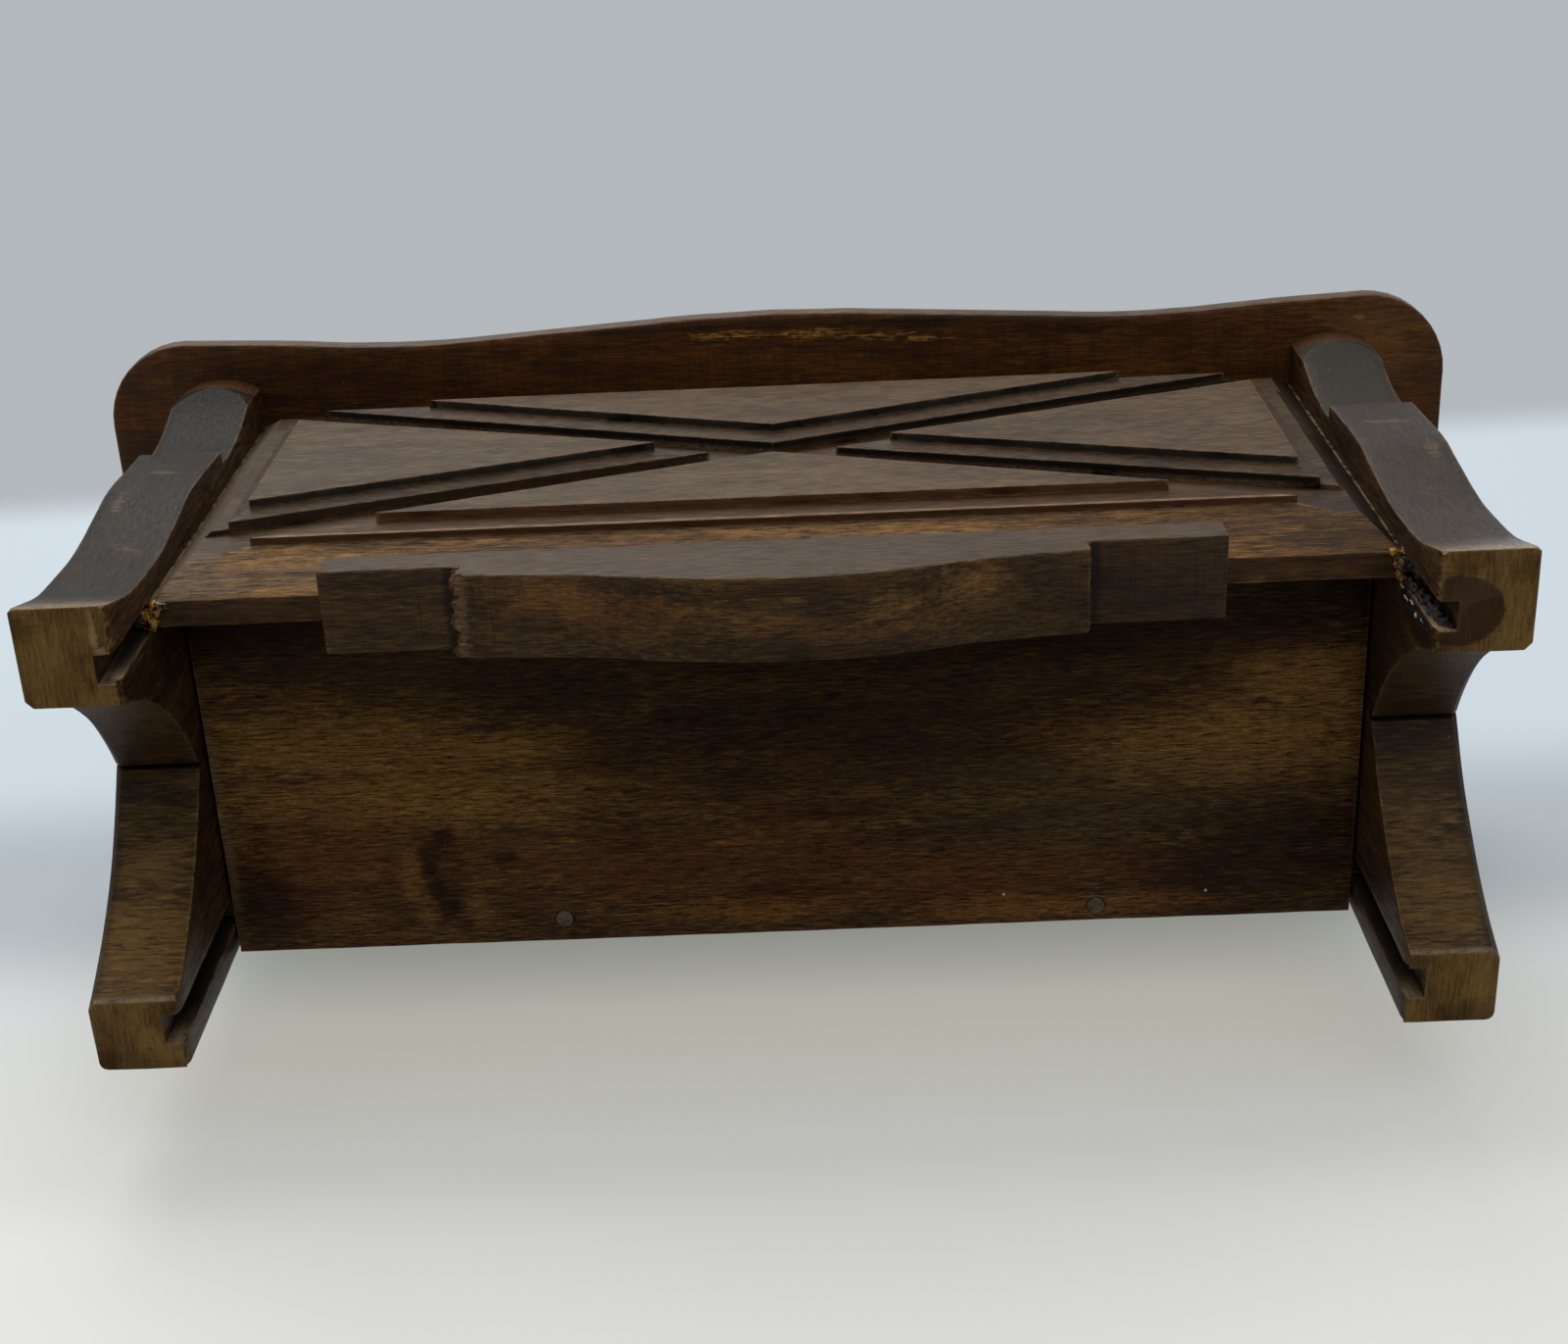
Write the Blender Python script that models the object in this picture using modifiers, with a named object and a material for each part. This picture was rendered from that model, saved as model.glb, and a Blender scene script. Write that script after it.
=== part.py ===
"""Footed wooden jewelry box with a carved front panel, a hinged lid and a velvet lining.

The box stands on the ground plane with +Z up. X runs along the front and +Y points to the
rear. The origin lies on the ground below the middle of the whole object. Every length is in
metres, written as millimetres times MM. Depths are measured forward from the rear face of
the case, because the back panel, the side boards and the lid are all flush there.
"""
import math

import bmesh
import bpy
from mathutils import Matrix, Vector

MM = 0.001

# Clearances
FIT_GAP = 0.3 * MM
CUT_OVERRUN = 2.0 * MM
WELD_DISTANCE = 0.001 * MM

# Case
CASE_WIDTH = 300.0 * MM
CASE_HEIGHT = 143.9 * MM
SIDE_THICKNESS = 19.3 * MM

# Front of the side boards, as forward distance and height; drops start at the case's top
STOCK_CORNER_FORWARD = 107.7 * MM
STOCK_BOW = 2.8 * MM
TOE_FORWARD = 108.4 * MM
ANKLE_FORWARD = 103.2 * MM
ANKLE_HEIGHT = 33.0 * MM
KNEE_FORWARD = 106.9 * MM
KNEE_HEIGHT = 72.0 * MM
STEP_FORWARD = 106.1 * MM
STEP_DROP = 44.9 * MM
COVE_FORWARD = 103.0 * MM
LIP_DROP = 7.9 * MM
# Points between toe and ankle: share of the ankle's height, share of the toe's reach
TOE_SHARES = ((0.21, 0.65), (0.55, 0.15))
# Points between ankle and knee: share of the rise, share of the knee's reach
KNEE_SHARES = ((0.26, 0.03), (0.69, 0.59))
# Points of the cove above the step: share of its rise, share of its reach
COVE_SHARES = ((0.20, 0.01), (0.49, 0.17), (0.76, 0.54))
FRONT_CURVE_STEPS = 4

# Arch sawn between the front foot and the back foot
FRONT_HEEL_FORWARD = 86.7 * MM
BACK_HEEL_FORWARD = 16.9 * MM
ARCH_PEAK_FORWARD = 51.6 * MM
ARCH_HEIGHT = 42.6 * MM
FRONT_ARCH_RISE = 5.8 * MM
BACK_ARCH_RISE = 3.8 * MM
ARCH_STEPS = 14
KERF_WIDTH = 1.1 * MM
KERF_DEPTH = 4.0 * MM
ARRIS_CHAMFER = 1.5 * MM
REAR_CORNER_CHAMFER = 1.8 * MM

# Grooves in the inner faces of the side boards
GROOVE_DEPTH = 4.0 * MM
FRONT_GROOVE_BACK = 91.4 * MM
FRONT_GROOVE_WIDTH = 6.3 * MM
REAR_GROOVE_BACK = 6.1 * MM
REAR_GROOVE_WIDTH = 7.3 * MM

# Carved front panel
PANEL_BOTTOM = 27.8 * MM
END_BEVEL_WIDTH = 11.5 * MM
LONG_BEVEL_WIDTH = 13.9 * MM
FIELD_RISE = 6.4 * MM
FIELD_MARGIN = 0.3 * MM
CHANNEL_DEPTH = 1.2 * MM
OUTER_WALL = 1.6 * MM
LEDGE_RISE = 1.1 * MM
INNER_WALL = 1.9 * MM
CREST_LEDGE_WIDTH = 4.5 * MM
CREST_APEX = 5.0 * MM
CREST_TIP_MARGIN = 7.4 * MM
FLANK_LEDGE_WIDTH = 3.8 * MM
FLANK_APEX = 14.6 * MM
FLANK_TIP_MARGIN = 10.9 * MM

# Apron glued under the front panel
APRON_HALF_WIDTH = 93.0 * MM
APRON_FRONT_FORWARD = 106.0 * MM
APRON_BACK_REACH = 4.1 * MM
APRON_BLOCK_INNER = 64.5 * MM
APRON_BLOCK_HEIGHT = 8.3 * MM
APRON_RAIL_HEIGHT = 13.1 * MM
APRON_BOW_DEPTH = 8.1 * MM
APRON_BOW_CENTRE = 6.0 * MM
# Lower edge of the bow: share of the way to its end, share of its depth
APRON_BOW_SHARES = ((0.93, 0.03), (0.62, 0.30), (0.38, 0.72), (0.14, 0.98))
APRON_CURVE_STEPS = 3

# Bottom board and its screws
BOARD_UNDERSIDE = 47.0 * MM
BOARD_THICKNESS = 5.5 * MM
BOARD_SIDE_GAP = 0.9 * MM
BOARD_HOUSING = 3.0 * MM
BOARD_SCREW_HEAD_RADIUS = 2.15 * MM
BOARD_SCREW_SHANK_RADIUS = 1.2 * MM
BOARD_SCREW_LENGTH = 16.0 * MM
LEFT_SCREW_X = -53.0 * MM
LEFT_SCREW_FORWARD = 5.5 * MM
RIGHT_SCREW_X = 70.9 * MM
RIGHT_SCREW_FORWARD = 3.7 * MM

# Back panel
BACK_THICKNESS = 13.1 * MM

# Lid
LID_END_OVERHANG = 20.0 * MM
LID_FRONT_OVERHANG = 10.7 * MM
LID_THICKNESS = 5.0 * MM
LID_CORNER_RADIUS = 21.0 * MM
LID_CORNER_SETBACK = 1.6 * MM
LID_WAVE_DEPTH = 4.3 * MM
LID_EDGE_ROUND = 0.8 * MM
# Front edge: share of the way to the corner, share of the wave's depth behind the middle
LID_WAVE_SHARES = (
    (0.13, 0.12), (0.26, 0.37), (0.39, 0.65), (0.50, 0.88), (0.60, 1.00), (0.72, 0.89), (0.85, 0.58),
)
LID_CURVE_STEPS = 3
LID_CORNER_STEPS = 10

# Hinges
HINGE_CENTRE_X = 85.0 * MM
HINGE_LENGTH = 25.0 * MM
LEAF_DEPTH = 8.0 * MM
LEAF_THICKNESS = 1.0 * MM
KNUCKLE_RADIUS = 2.0 * MM
KNUCKLE_COUNT = 3
PIN_RADIUS = 0.9 * MM
PIN_SEGMENTS = 24
LEAF_SCREW_SPACING = 15.0 * MM
LEAF_SCREW_HEAD_RADIUS = 1.6 * MM
LEAF_SCREW_SHANK_RADIUS = 0.8 * MM
CASE_SCREW_LENGTH = 9.0 * MM
LID_SCREW_LENGTH = 3.9 * MM
SCREW_HEAD_LIP = 0.2 * MM
SCREW_SEGMENTS = 20

# Velvet lining
LINING_THICKNESS = 1.5 * MM
LINING_DROP = 4.3 * MM
LID_LINING_THICKNESS = 1.8 * MM
LID_LINING_MARGIN = 4.0 * MM
LINING_ROUND = 0.4 * MM

# Places worked out from the sizes above
HINGE_AXIS_BEHIND = KNUCKLE_RADIUS + FIT_GAP
HINGE_REACH = HINGE_AXIS_BEHIND + KNUCKLE_RADIUS
STOCK_CROWN_FORWARD = STOCK_CORNER_FORWARD + STOCK_BOW
LID_DEPTH = STOCK_CROWN_FORWARD + LID_FRONT_OVERHANG
REAR_Y = (LID_DEPTH - HINGE_REACH) / 2
OUTER_X = CASE_WIDTH / 2
LID_HALF_WIDTH = OUTER_X + LID_END_OVERHANG
INNER_X = OUTER_X - SIDE_THICKNESS
TONGUE_X = INNER_X + GROOVE_DEPTH - FIT_GAP
STEP_HEIGHT = CASE_HEIGHT - STEP_DROP
LIP_HEIGHT = CASE_HEIGHT - LIP_DROP
LINING_TOP = CASE_HEIGHT - LINING_DROP
LID_UNDERSIDE = CASE_HEIGHT + FIT_GAP
HINGE_AXIS_Y = REAR_Y + HINGE_AXIS_BEHIND
HINGE_AXIS_Z = CASE_HEIGHT + FIT_GAP / 2
PANEL_BACK_FORWARD = FRONT_GROOVE_BACK + FIT_GAP
PANEL_EDGE_THICKNESS = FRONT_GROOVE_WIDTH - 2 * FIT_GAP
APRON_THICKNESS = APRON_FRONT_FORWARD - PANEL_BACK_FORWARD + APRON_BACK_REACH
PANEL_CENTRE_Z = (PANEL_BOTTOM + CASE_HEIGHT) / 2
PANEL_HALF_HEIGHT = (CASE_HEIGHT - PANEL_BOTTOM) / 2
PANEL_HALF_WIDTH = INNER_X - FIT_GAP
FIELD_FORWARD = PANEL_BACK_FORWARD + PANEL_EDGE_THICKNESS + FIELD_RISE
FIELD_HALF_WIDTH = PANEL_HALF_WIDTH - END_BEVEL_WIDTH
FIELD_HALF_HEIGHT = PANEL_HALF_HEIGHT - LONG_BEVEL_WIDTH
CREST_BASE = FIELD_HALF_HEIGHT - FIELD_MARGIN
CREST_TIP = FIELD_HALF_WIDTH - CREST_TIP_MARGIN
FLANK_BASE = FIELD_HALF_WIDTH - FIELD_MARGIN
FLANK_TIP = FIELD_HALF_HEIGHT - FLANK_TIP_MARGIN
BOARD_TOP = BOARD_UNDERSIDE + BOARD_THICKNESS
BOARD_HALF_WIDTH = INNER_X - BOARD_SIDE_GAP
FLOOR_TOP = BOARD_TOP + FIT_GAP + LINING_THICKNESS
ROOM_FRONT = PANEL_BACK_FORWARD - FIT_GAP
ROOM_BACK = BACK_THICKNESS + FIT_GAP

# Colours
WALNUT = (0.085, 0.045, 0.024)
WALNUT_DARK = (0.045, 0.025, 0.014)
WALNUT_GRAY = (0.130, 0.105, 0.080)
BRASS = (0.62, 0.43, 0.17)
STEEL = (0.42, 0.41, 0.39)
VELVET = (0.20, 0.012, 0.020)

# Turns an outline's own X, Y and Z into the world's axes
FACING_UP = Matrix.Identity(4)
FACING_SIDE = Matrix(((0, 0, 1, 0), (1, 0, 0, 0), (0, 1, 0, 0), (0, 0, 0, 1)))
FACING_REAR = Matrix(((1, 0, 0, 0), (0, 0, -1, 0), (0, 1, 0, 0), (0, 0, 0, 1)))


def forward(distance):
    """World Y of a point that lies this far in front of the case's rear face."""
    return REAR_Y - distance


# Scene

def clear_scene():
    for item in list(bpy.data.objects):
        bpy.data.objects.remove(item, do_unlink=True)


def new_collection(name):
    collection = bpy.data.collections.new(name)
    bpy.context.scene.collection.children.link(collection)
    return collection


def new_material(name, color, roughness, metallic=0.0):
    material = bpy.data.materials.new(name)
    material.use_nodes = True
    shader = material.node_tree.nodes["Principled BSDF"]
    shader.inputs["Base Color"].default_value = (*color, 1.0)
    shader.inputs["Roughness"].default_value = roughness
    shader.inputs["Metallic"].default_value = metallic
    return material


def add_piece(name, mesh, color, roughness, metallic=0.0, origin=(0.0, 0.0, 0.0)):
    """Link a sub-part, with its own material and its object's origin at the given place."""
    mesh.name = name
    mesh.transform(Matrix.Translation(-Vector(origin)))
    mesh.materials.clear()
    mesh.materials.append(new_material(name, color, roughness, metallic))
    piece = bpy.data.objects.new(name, mesh)
    piece.location = origin
    bpy.data.collections["jewelry_box"].objects.link(piece)
    return piece


def change(piece, mesh, operation):
    """Cut a piece with a hidden tool shape, or join or trim it by one."""
    tool = bpy.data.objects.new(piece.name + "_" + operation.lower(), mesh)
    tool.hide_render = True
    tool.display_type = "WIRE"
    bpy.data.collections["cutters"].objects.link(tool)
    modifier = piece.modifiers.new(operation.title(), "BOOLEAN")
    modifier.operation = operation
    modifier.solver = "EXACT"
    modifier.object = tool


def round_edges(piece, width, segments=2):
    modifier = piece.modifiers.new("Rounded edges", "BEVEL")
    modifier.width = width
    modifier.segments = segments
    modifier.limit_method = "ANGLE"
    modifier.angle_limit = math.radians(50)


# Shapes

def mesh_of(shape):
    mesh = bpy.data.meshes.new("shape")
    shape.to_mesh(mesh)
    shape.free()
    return mesh


def box(low, high):
    """Box between two corners."""
    low = Vector(low)
    high = Vector(high)
    shape = bmesh.new()
    size = Matrix.Diagonal((*(high - low), 1.0))
    bmesh.ops.create_cube(shape, size=1.0, matrix=Matrix.Translation((low + high) / 2) @ size)
    return mesh_of(shape)


def rod(radius, start, end, y, z, segments=PIN_SEGMENTS):
    """Cylinder along X from start to end."""
    shape = bmesh.new()
    turn = Matrix.Rotation(math.pi / 2, 4, "Y")
    place = Matrix.Translation(((start + end) / 2, y, z)) @ turn
    bmesh.ops.create_cone(
        shape, cap_ends=True, segments=segments, radius1=radius, radius2=radius,
        depth=end - start, matrix=place,
    )
    return mesh_of(shape)


def plain_mesh(item):
    """Mesh of an object as its modifiers leave it; the object itself is removed."""
    bpy.context.scene.collection.objects.link(item)
    graph = bpy.context.evaluated_depsgraph_get()
    mesh = bpy.data.meshes.new_from_object(item.evaluated_get(graph))
    bpy.data.objects.remove(item, do_unlink=True)
    return mesh


def slab(outline, low, high, facing=FACING_UP):
    """Solid with a flat outline, from low to high along the axis that it faces."""
    curve = bpy.data.curves.new("outline", "CURVE")
    curve.dimensions = "2D"
    curve.fill_mode = "BOTH"
    curve.extrude = (high - low) / 2
    spline = curve.splines.new("POLY")
    spline.points.add(len(outline) - 1)
    spline.use_cyclic_u = True
    for point, place in zip(spline.points, outline):
        point.co = (place[0], place[1], 0.0, 1.0)
    mesh = plain_mesh(bpy.data.objects.new("outline", curve))
    shape = bmesh.new()
    shape.from_mesh(mesh)
    bpy.data.meshes.remove(mesh)
    bmesh.ops.remove_doubles(shape, verts=shape.verts, dist=WELD_DISTANCE)
    for side in (-1, 1):
        bmesh.ops.dissolve_faces(shape, faces=[
            face for face in shape.faces
            if abs(face.normal.z) > 0.5 and face.calc_center_median().z * side > 0
        ])
    bmesh.ops.recalc_face_normals(shape, faces=shape.faces)
    along = Matrix.Translation((0.0, 0.0, (low + high) / 2))
    bmesh.ops.transform(shape, matrix=facing @ along, verts=shape.verts)
    return mesh_of(shape)


def turned(profile, segments=SCREW_SEGMENTS):
    """Turned solid from a profile of radius and height, listed from the top down."""
    shape = bmesh.new()
    points = [shape.verts.new((radius, 0.0, height)) for radius, height in profile]
    for first, second in zip(points, points[1:]):
        shape.edges.new((first, second))
    item = bpy.data.objects.new("turned", mesh_of(shape))
    modifier = item.modifiers.new("Turned", "SCREW")
    modifier.steps = segments
    modifier.render_steps = segments
    modifier.use_merge_vertices = True
    modifier.merge_threshold = WELD_DISTANCE
    modifier.use_smooth_shade = False
    return plain_mesh(item)


def group(meshes):
    """One mesh that holds several separate solids."""
    shape = bmesh.new()
    for mesh in meshes:
        shape.from_mesh(mesh)
        bpy.data.meshes.remove(mesh)
    return mesh_of(shape)


def moved(mesh, matrix):
    mesh.transform(matrix)
    return mesh


def smooth(mesh, degrees=35):
    mesh.shade_smooth()
    mesh.set_sharp_from_angle(angle=math.radians(degrees))
    return mesh


def mirrored(mesh):
    """Mirror image across the box's middle plane, with its faces pointing out again."""
    shape = bmesh.new()
    shape.from_mesh(mesh)
    bpy.data.meshes.remove(mesh)
    bmesh.ops.scale(shape, vec=(-1.0, 1.0, 1.0), verts=shape.verts)
    bmesh.ops.reverse_faces(shape, faces=shape.faces)
    return mesh_of(shape)


# Outlines

def arc(start, end, rise, steps):
    """Points of the arc from start to end that bows by rise to the left of its way."""
    chord = end - start
    half = chord.length / 2
    radius = (half * half + rise * rise) / (2 * rise)
    left = Vector((-chord.y, chord.x)).normalized()
    centre = (start + end) / 2 - left * (radius - rise)
    sweep = 2 * math.asin(half / radius)
    spoke = start - centre
    points = []
    for step in range(steps + 1):
        angle = -sweep * step / steps
        turned_x = spoke.x * math.cos(angle) - spoke.y * math.sin(angle)
        turned_y = spoke.x * math.sin(angle) + spoke.y * math.cos(angle)
        points.append(centre + Vector((turned_x, turned_y)))
    return points


def smooth_line(points, steps):
    """Points of a smooth curve that passes through all the given ones."""
    ends = [points[0] * 2 - points[1]] + points + [points[-1] * 2 - points[-2]]
    line = []
    for before, start, end, after in zip(ends, ends[1:], ends[2:], ends[3:]):
        for step in range(steps):
            t = step / steps
            line.append(0.5 * (
                start * 2
                + (end - before) * t
                + (before * 2 - start * 5 + end * 4 - after) * t * t
                + (start * 3 - before - end * 3 + after) * t * t * t
            ))
    line.append(points[-1])
    return line


def profile_point(distance, height):
    """Point of the side board's outline, as world Y and Z."""
    return Vector((forward(distance), height))


def lower_front_line():
    """Sawn front of the foot and the knee, from the floor up to the step."""
    reach = TOE_FORWARD - ANKLE_FORWARD
    points = [profile_point(TOE_FORWARD, 0.0)]
    for height, share in TOE_SHARES:
        points.append(profile_point(ANKLE_FORWARD + reach * share, ANKLE_HEIGHT * height))
    points.append(profile_point(ANKLE_FORWARD, ANKLE_HEIGHT))
    reach = KNEE_FORWARD - ANKLE_FORWARD
    rise = KNEE_HEIGHT - ANKLE_HEIGHT
    for height, share in KNEE_SHARES:
        points.append(profile_point(ANKLE_FORWARD + reach * share, ANKLE_HEIGHT + rise * height))
    points.append(profile_point(KNEE_FORWARD, KNEE_HEIGHT))
    points.append(profile_point(STEP_FORWARD, STEP_HEIGHT))
    return smooth_line(points, FRONT_CURVE_STEPS)


def cove_line():
    """Sawn cove that runs from the step out through the bowed stock below the lid."""
    reach = STOCK_CROWN_FORWARD - COVE_FORWARD
    rise = LIP_HEIGHT - STEP_HEIGHT
    points = [profile_point(COVE_FORWARD, STEP_HEIGHT)]
    for height, share in COVE_SHARES:
        points.append(profile_point(COVE_FORWARD + reach * share, STEP_HEIGHT + rise * height))
    points.append(profile_point(STOCK_CROWN_FORWARD, LIP_HEIGHT))
    line = smooth_line(points, FRONT_CURVE_STEPS)
    line.append(line[-1] + (line[-1] - line[-2]))
    return line


def side_outline():
    """Outline of a side board seen from the side, starting at the toe."""
    front_heel = profile_point(FRONT_HEEL_FORWARD, 0.0)
    back_heel = profile_point(BACK_HEEL_FORWARD, 0.0)
    peak_front = profile_point(ARCH_PEAK_FORWARD + KERF_WIDTH / 2, ARCH_HEIGHT)
    peak_back = profile_point(ARCH_PEAK_FORWARD - KERF_WIDTH / 2, ARCH_HEIGHT)
    kerf_end = profile_point(ARCH_PEAK_FORWARD, ARCH_HEIGHT + KERF_DEPTH)
    outline = arc(front_heel, peak_front, FRONT_ARCH_RISE, ARCH_STEPS)
    outline.append(kerf_end)
    outline += arc(peak_back, back_heel, BACK_ARCH_RISE, ARCH_STEPS)
    outline.append(profile_point(0.0, 0.0))
    outline.append(profile_point(0.0, CASE_HEIGHT))
    outline.append(Vector((cove_line()[-1].x, CASE_HEIGHT)))
    outline += reversed(cove_line())
    outline += reversed(lower_front_line())
    return outline


def stock_outline():
    """Plan of the board before sawing: its front edge is bowed."""
    half = SIDE_THICKNESS / 2
    radius = (half * half + STOCK_BOW * STOCK_BOW) / (2 * STOCK_BOW)
    reach = half + FIT_GAP
    middle = INNER_X + half
    points = []
    steps = 12
    for step in range(steps + 1):
        across = -reach + 2 * reach * step / steps
        drop = radius - math.sqrt(radius * radius - across * across)
        points.append(Vector((middle + across, forward(STOCK_CROWN_FORWARD - drop))))
    rear = REAR_Y + CUT_OVERRUN
    return points + [Vector((middle + reach, rear)), Vector((middle - reach, rear))]


def lid_outline():
    """Plan of the lid, with its waved front edge and round front corners."""
    front = forward(LID_DEPTH)
    corner_start = LID_HALF_WIDTH - LID_CORNER_RADIUS
    corner_front = front + LID_CORNER_SETBACK
    wave = [Vector((0.0, front))]
    for share, setback in LID_WAVE_SHARES:
        wave.append(Vector((corner_start * share, front + LID_WAVE_DEPTH * setback)))
    wave.append(Vector((corner_start, corner_front)))
    half = smooth_line(wave, LID_CURVE_STEPS)
    for step in range(1, LID_CORNER_STEPS + 1):
        angle = math.pi / 2 * step / LID_CORNER_STEPS
        half.append(Vector((
            corner_start + LID_CORNER_RADIUS * math.sin(angle),
            corner_front + LID_CORNER_RADIUS * (1.0 - math.cos(angle)),
        )))
    half.append(Vector((LID_HALF_WIDTH, REAR_Y)))
    other = [Vector((-point.x, point.y)) for point in reversed(half[1:])]
    return half + other


def apron_outline():
    """Front view of the apron: two blocks, a thinner rail and a shallow bow in its middle."""
    top = PANEL_BOTTOM - FIT_GAP
    block = top - APRON_BLOCK_HEIGHT
    rail = top - APRON_RAIL_HEIGHT
    outline = [Vector((APRON_HALF_WIDTH, top)), Vector((-APRON_HALF_WIDTH, top))]
    outline += [Vector((-APRON_HALF_WIDTH, block)), Vector((-APRON_BLOCK_INNER, block))]
    bow = [Vector((-APRON_BLOCK_INNER, rail))]
    left_reach = APRON_BOW_CENTRE + APRON_BLOCK_INNER
    right_reach = APRON_BLOCK_INNER - APRON_BOW_CENTRE
    for share, depth in APRON_BOW_SHARES:
        bow.append(Vector((APRON_BOW_CENTRE - left_reach * share, rail - APRON_BOW_DEPTH * depth)))
    for share, depth in reversed(APRON_BOW_SHARES):
        bow.append(Vector((APRON_BOW_CENTRE + right_reach * share, rail - APRON_BOW_DEPTH * depth)))
    bow.append(Vector((APRON_BLOCK_INNER, rail)))
    outline += smooth_line(bow, APRON_CURVE_STEPS)
    outline += [Vector((APRON_BLOCK_INNER, block)), Vector((APRON_HALF_WIDTH, block))]
    return outline


# Side boards

def chamfer_outer_arris(mesh):
    """Ease the outer edge of the arch and the outer rear corner of a right side board."""
    shape = bmesh.new()
    shape.from_mesh(mesh)
    bpy.data.meshes.remove(mesh)
    arch_edges = []
    rear_edges = []
    for edge in shape.edges:
        first, second = (vert.co for vert in edge.verts)
        if min(first.x, second.x) < OUTER_X - FIT_GAP:
            continue
        middle = (first + second) / 2
        in_arch = forward(FRONT_HEEL_FORWARD) < middle.y < forward(BACK_HEEL_FORWARD)
        if in_arch and middle.z < ARCH_HEIGHT and abs(first.z - second.z) > FIT_GAP:
            arch_edges.append(edge)
        if min(first.y, second.y) > REAR_Y - FIT_GAP:
            rear_edges.append(edge)
    bmesh.ops.bevel(
        shape, geom=arch_edges, offset=ARRIS_CHAMFER, segments=1, affect="EDGES", clamp_overlap=True,
    )
    rear_edges = [edge for edge in rear_edges if edge.is_valid]
    bmesh.ops.bevel(
        shape, geom=rear_edges, offset=REAR_CORNER_CHAMFER, segments=3, profile=0.5,
        affect="EDGES", clamp_overlap=True,
    )
    return mesh_of(shape)


def groove_cutter():
    """Both grooves of a right side board, running out at the foot and at the top."""
    low = -CUT_OVERRUN
    high = CASE_HEIGHT + CUT_OVERRUN
    grooves = []
    for back, width in (
        (FRONT_GROOVE_BACK, FRONT_GROOVE_WIDTH),
        (REAR_GROOVE_BACK, REAR_GROOVE_WIDTH),
    ):
        grooves.append(box(
            (INNER_X - CUT_OVERRUN, forward(back + width), low),
            (INNER_X + GROOVE_DEPTH, forward(back), high),
        ))
    return group(grooves)


def add_side(name, flip):
    board = chamfer_outer_arris(slab(side_outline(), INNER_X, OUTER_X, FACING_SIDE))
    stock = slab(stock_outline(), -CUT_OVERRUN, CASE_HEIGHT + CUT_OVERRUN)
    grooves = groove_cutter()
    if flip:
        board = mirrored(board)
        stock = mirrored(stock)
        grooves = mirrored(grooves)
    piece = add_piece(name, board, WALNUT, 0.55)
    change(piece, stock, "INTERSECT")
    change(piece, grooves, "DIFFERENCE")


# Front panel

def raised_triangle(corners, ledge_width):
    """Stepped triangle that stands in the panel's field: a wall, a sloped ledge and a wall."""
    low = FIELD_FORWARD - CHANNEL_DEPTH - CUT_OVERRUN
    mesh = slab(corners, -forward(low), -forward(FIELD_FORWARD + OUTER_WALL), FACING_REAR)
    shape = bmesh.new()
    shape.from_mesh(mesh)
    bpy.data.meshes.remove(mesh)
    top = min(shape.faces, key=lambda face: face.calc_center_median().y)
    bmesh.ops.inset_individual(
        shape, faces=[top], thickness=ledge_width, depth=LEDGE_RISE, use_even_offset=True,
    )
    grown = bmesh.ops.extrude_discrete_faces(shape, faces=[top])
    verts = list(grown["faces"][0].verts)
    bmesh.ops.translate(shape, vec=(0.0, -INNER_WALL, 0.0), verts=verts)
    return mesh_of(shape)


def carving():
    """Four stepped triangles that leave two crossed channels between them."""
    crest = [(0.0, CREST_APEX), (-CREST_TIP, CREST_BASE), (CREST_TIP, CREST_BASE)]
    flank = [(FLANK_APEX, 0.0), (FLANK_BASE, FLANK_TIP), (FLANK_BASE, -FLANK_TIP)]
    triangles = []
    for side in (-1, 1):
        for corners, ledge_width in ((crest, CREST_LEDGE_WIDTH), (flank, FLANK_LEDGE_WIDTH)):
            placed = [Vector((x * side, PANEL_CENTRE_Z + z * side)) for x, z in corners]
            triangles.append(raised_triangle(placed, ledge_width))
    return group(triangles)


def channel_cutter():
    """Both crossed channels, a little under the field's edge, running out through its bevel."""
    crest_slope = (CREST_BASE - CREST_APEX) / CREST_TIP
    flank_slope = FLANK_TIP / (FLANK_BASE - FLANK_APEX)
    crest_apex = CREST_APEX + FIT_GAP
    flank_apex = FLANK_APEX + FIT_GAP
    crest_end = crest_apex + crest_slope * PANEL_HALF_WIDTH
    flank_end = flank_slope * (PANEL_HALF_WIDTH - flank_apex)
    half = [
        (0.0, crest_apex), (PANEL_HALF_WIDTH, crest_end), (PANEL_HALF_WIDTH, flank_end),
        (flank_apex, 0.0), (PANEL_HALF_WIDTH, -flank_end), (PANEL_HALF_WIDTH, -crest_end),
    ]
    outline = []
    for side in (1, -1):
        outline += [Vector((x * side, PANEL_CENTRE_Z + z * side)) for x, z in half]
    low = FIELD_FORWARD - CHANNEL_DEPTH
    return slab(outline, -forward(low), -forward(FIELD_FORWARD + CUT_OVERRUN), FACING_REAR)


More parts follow.
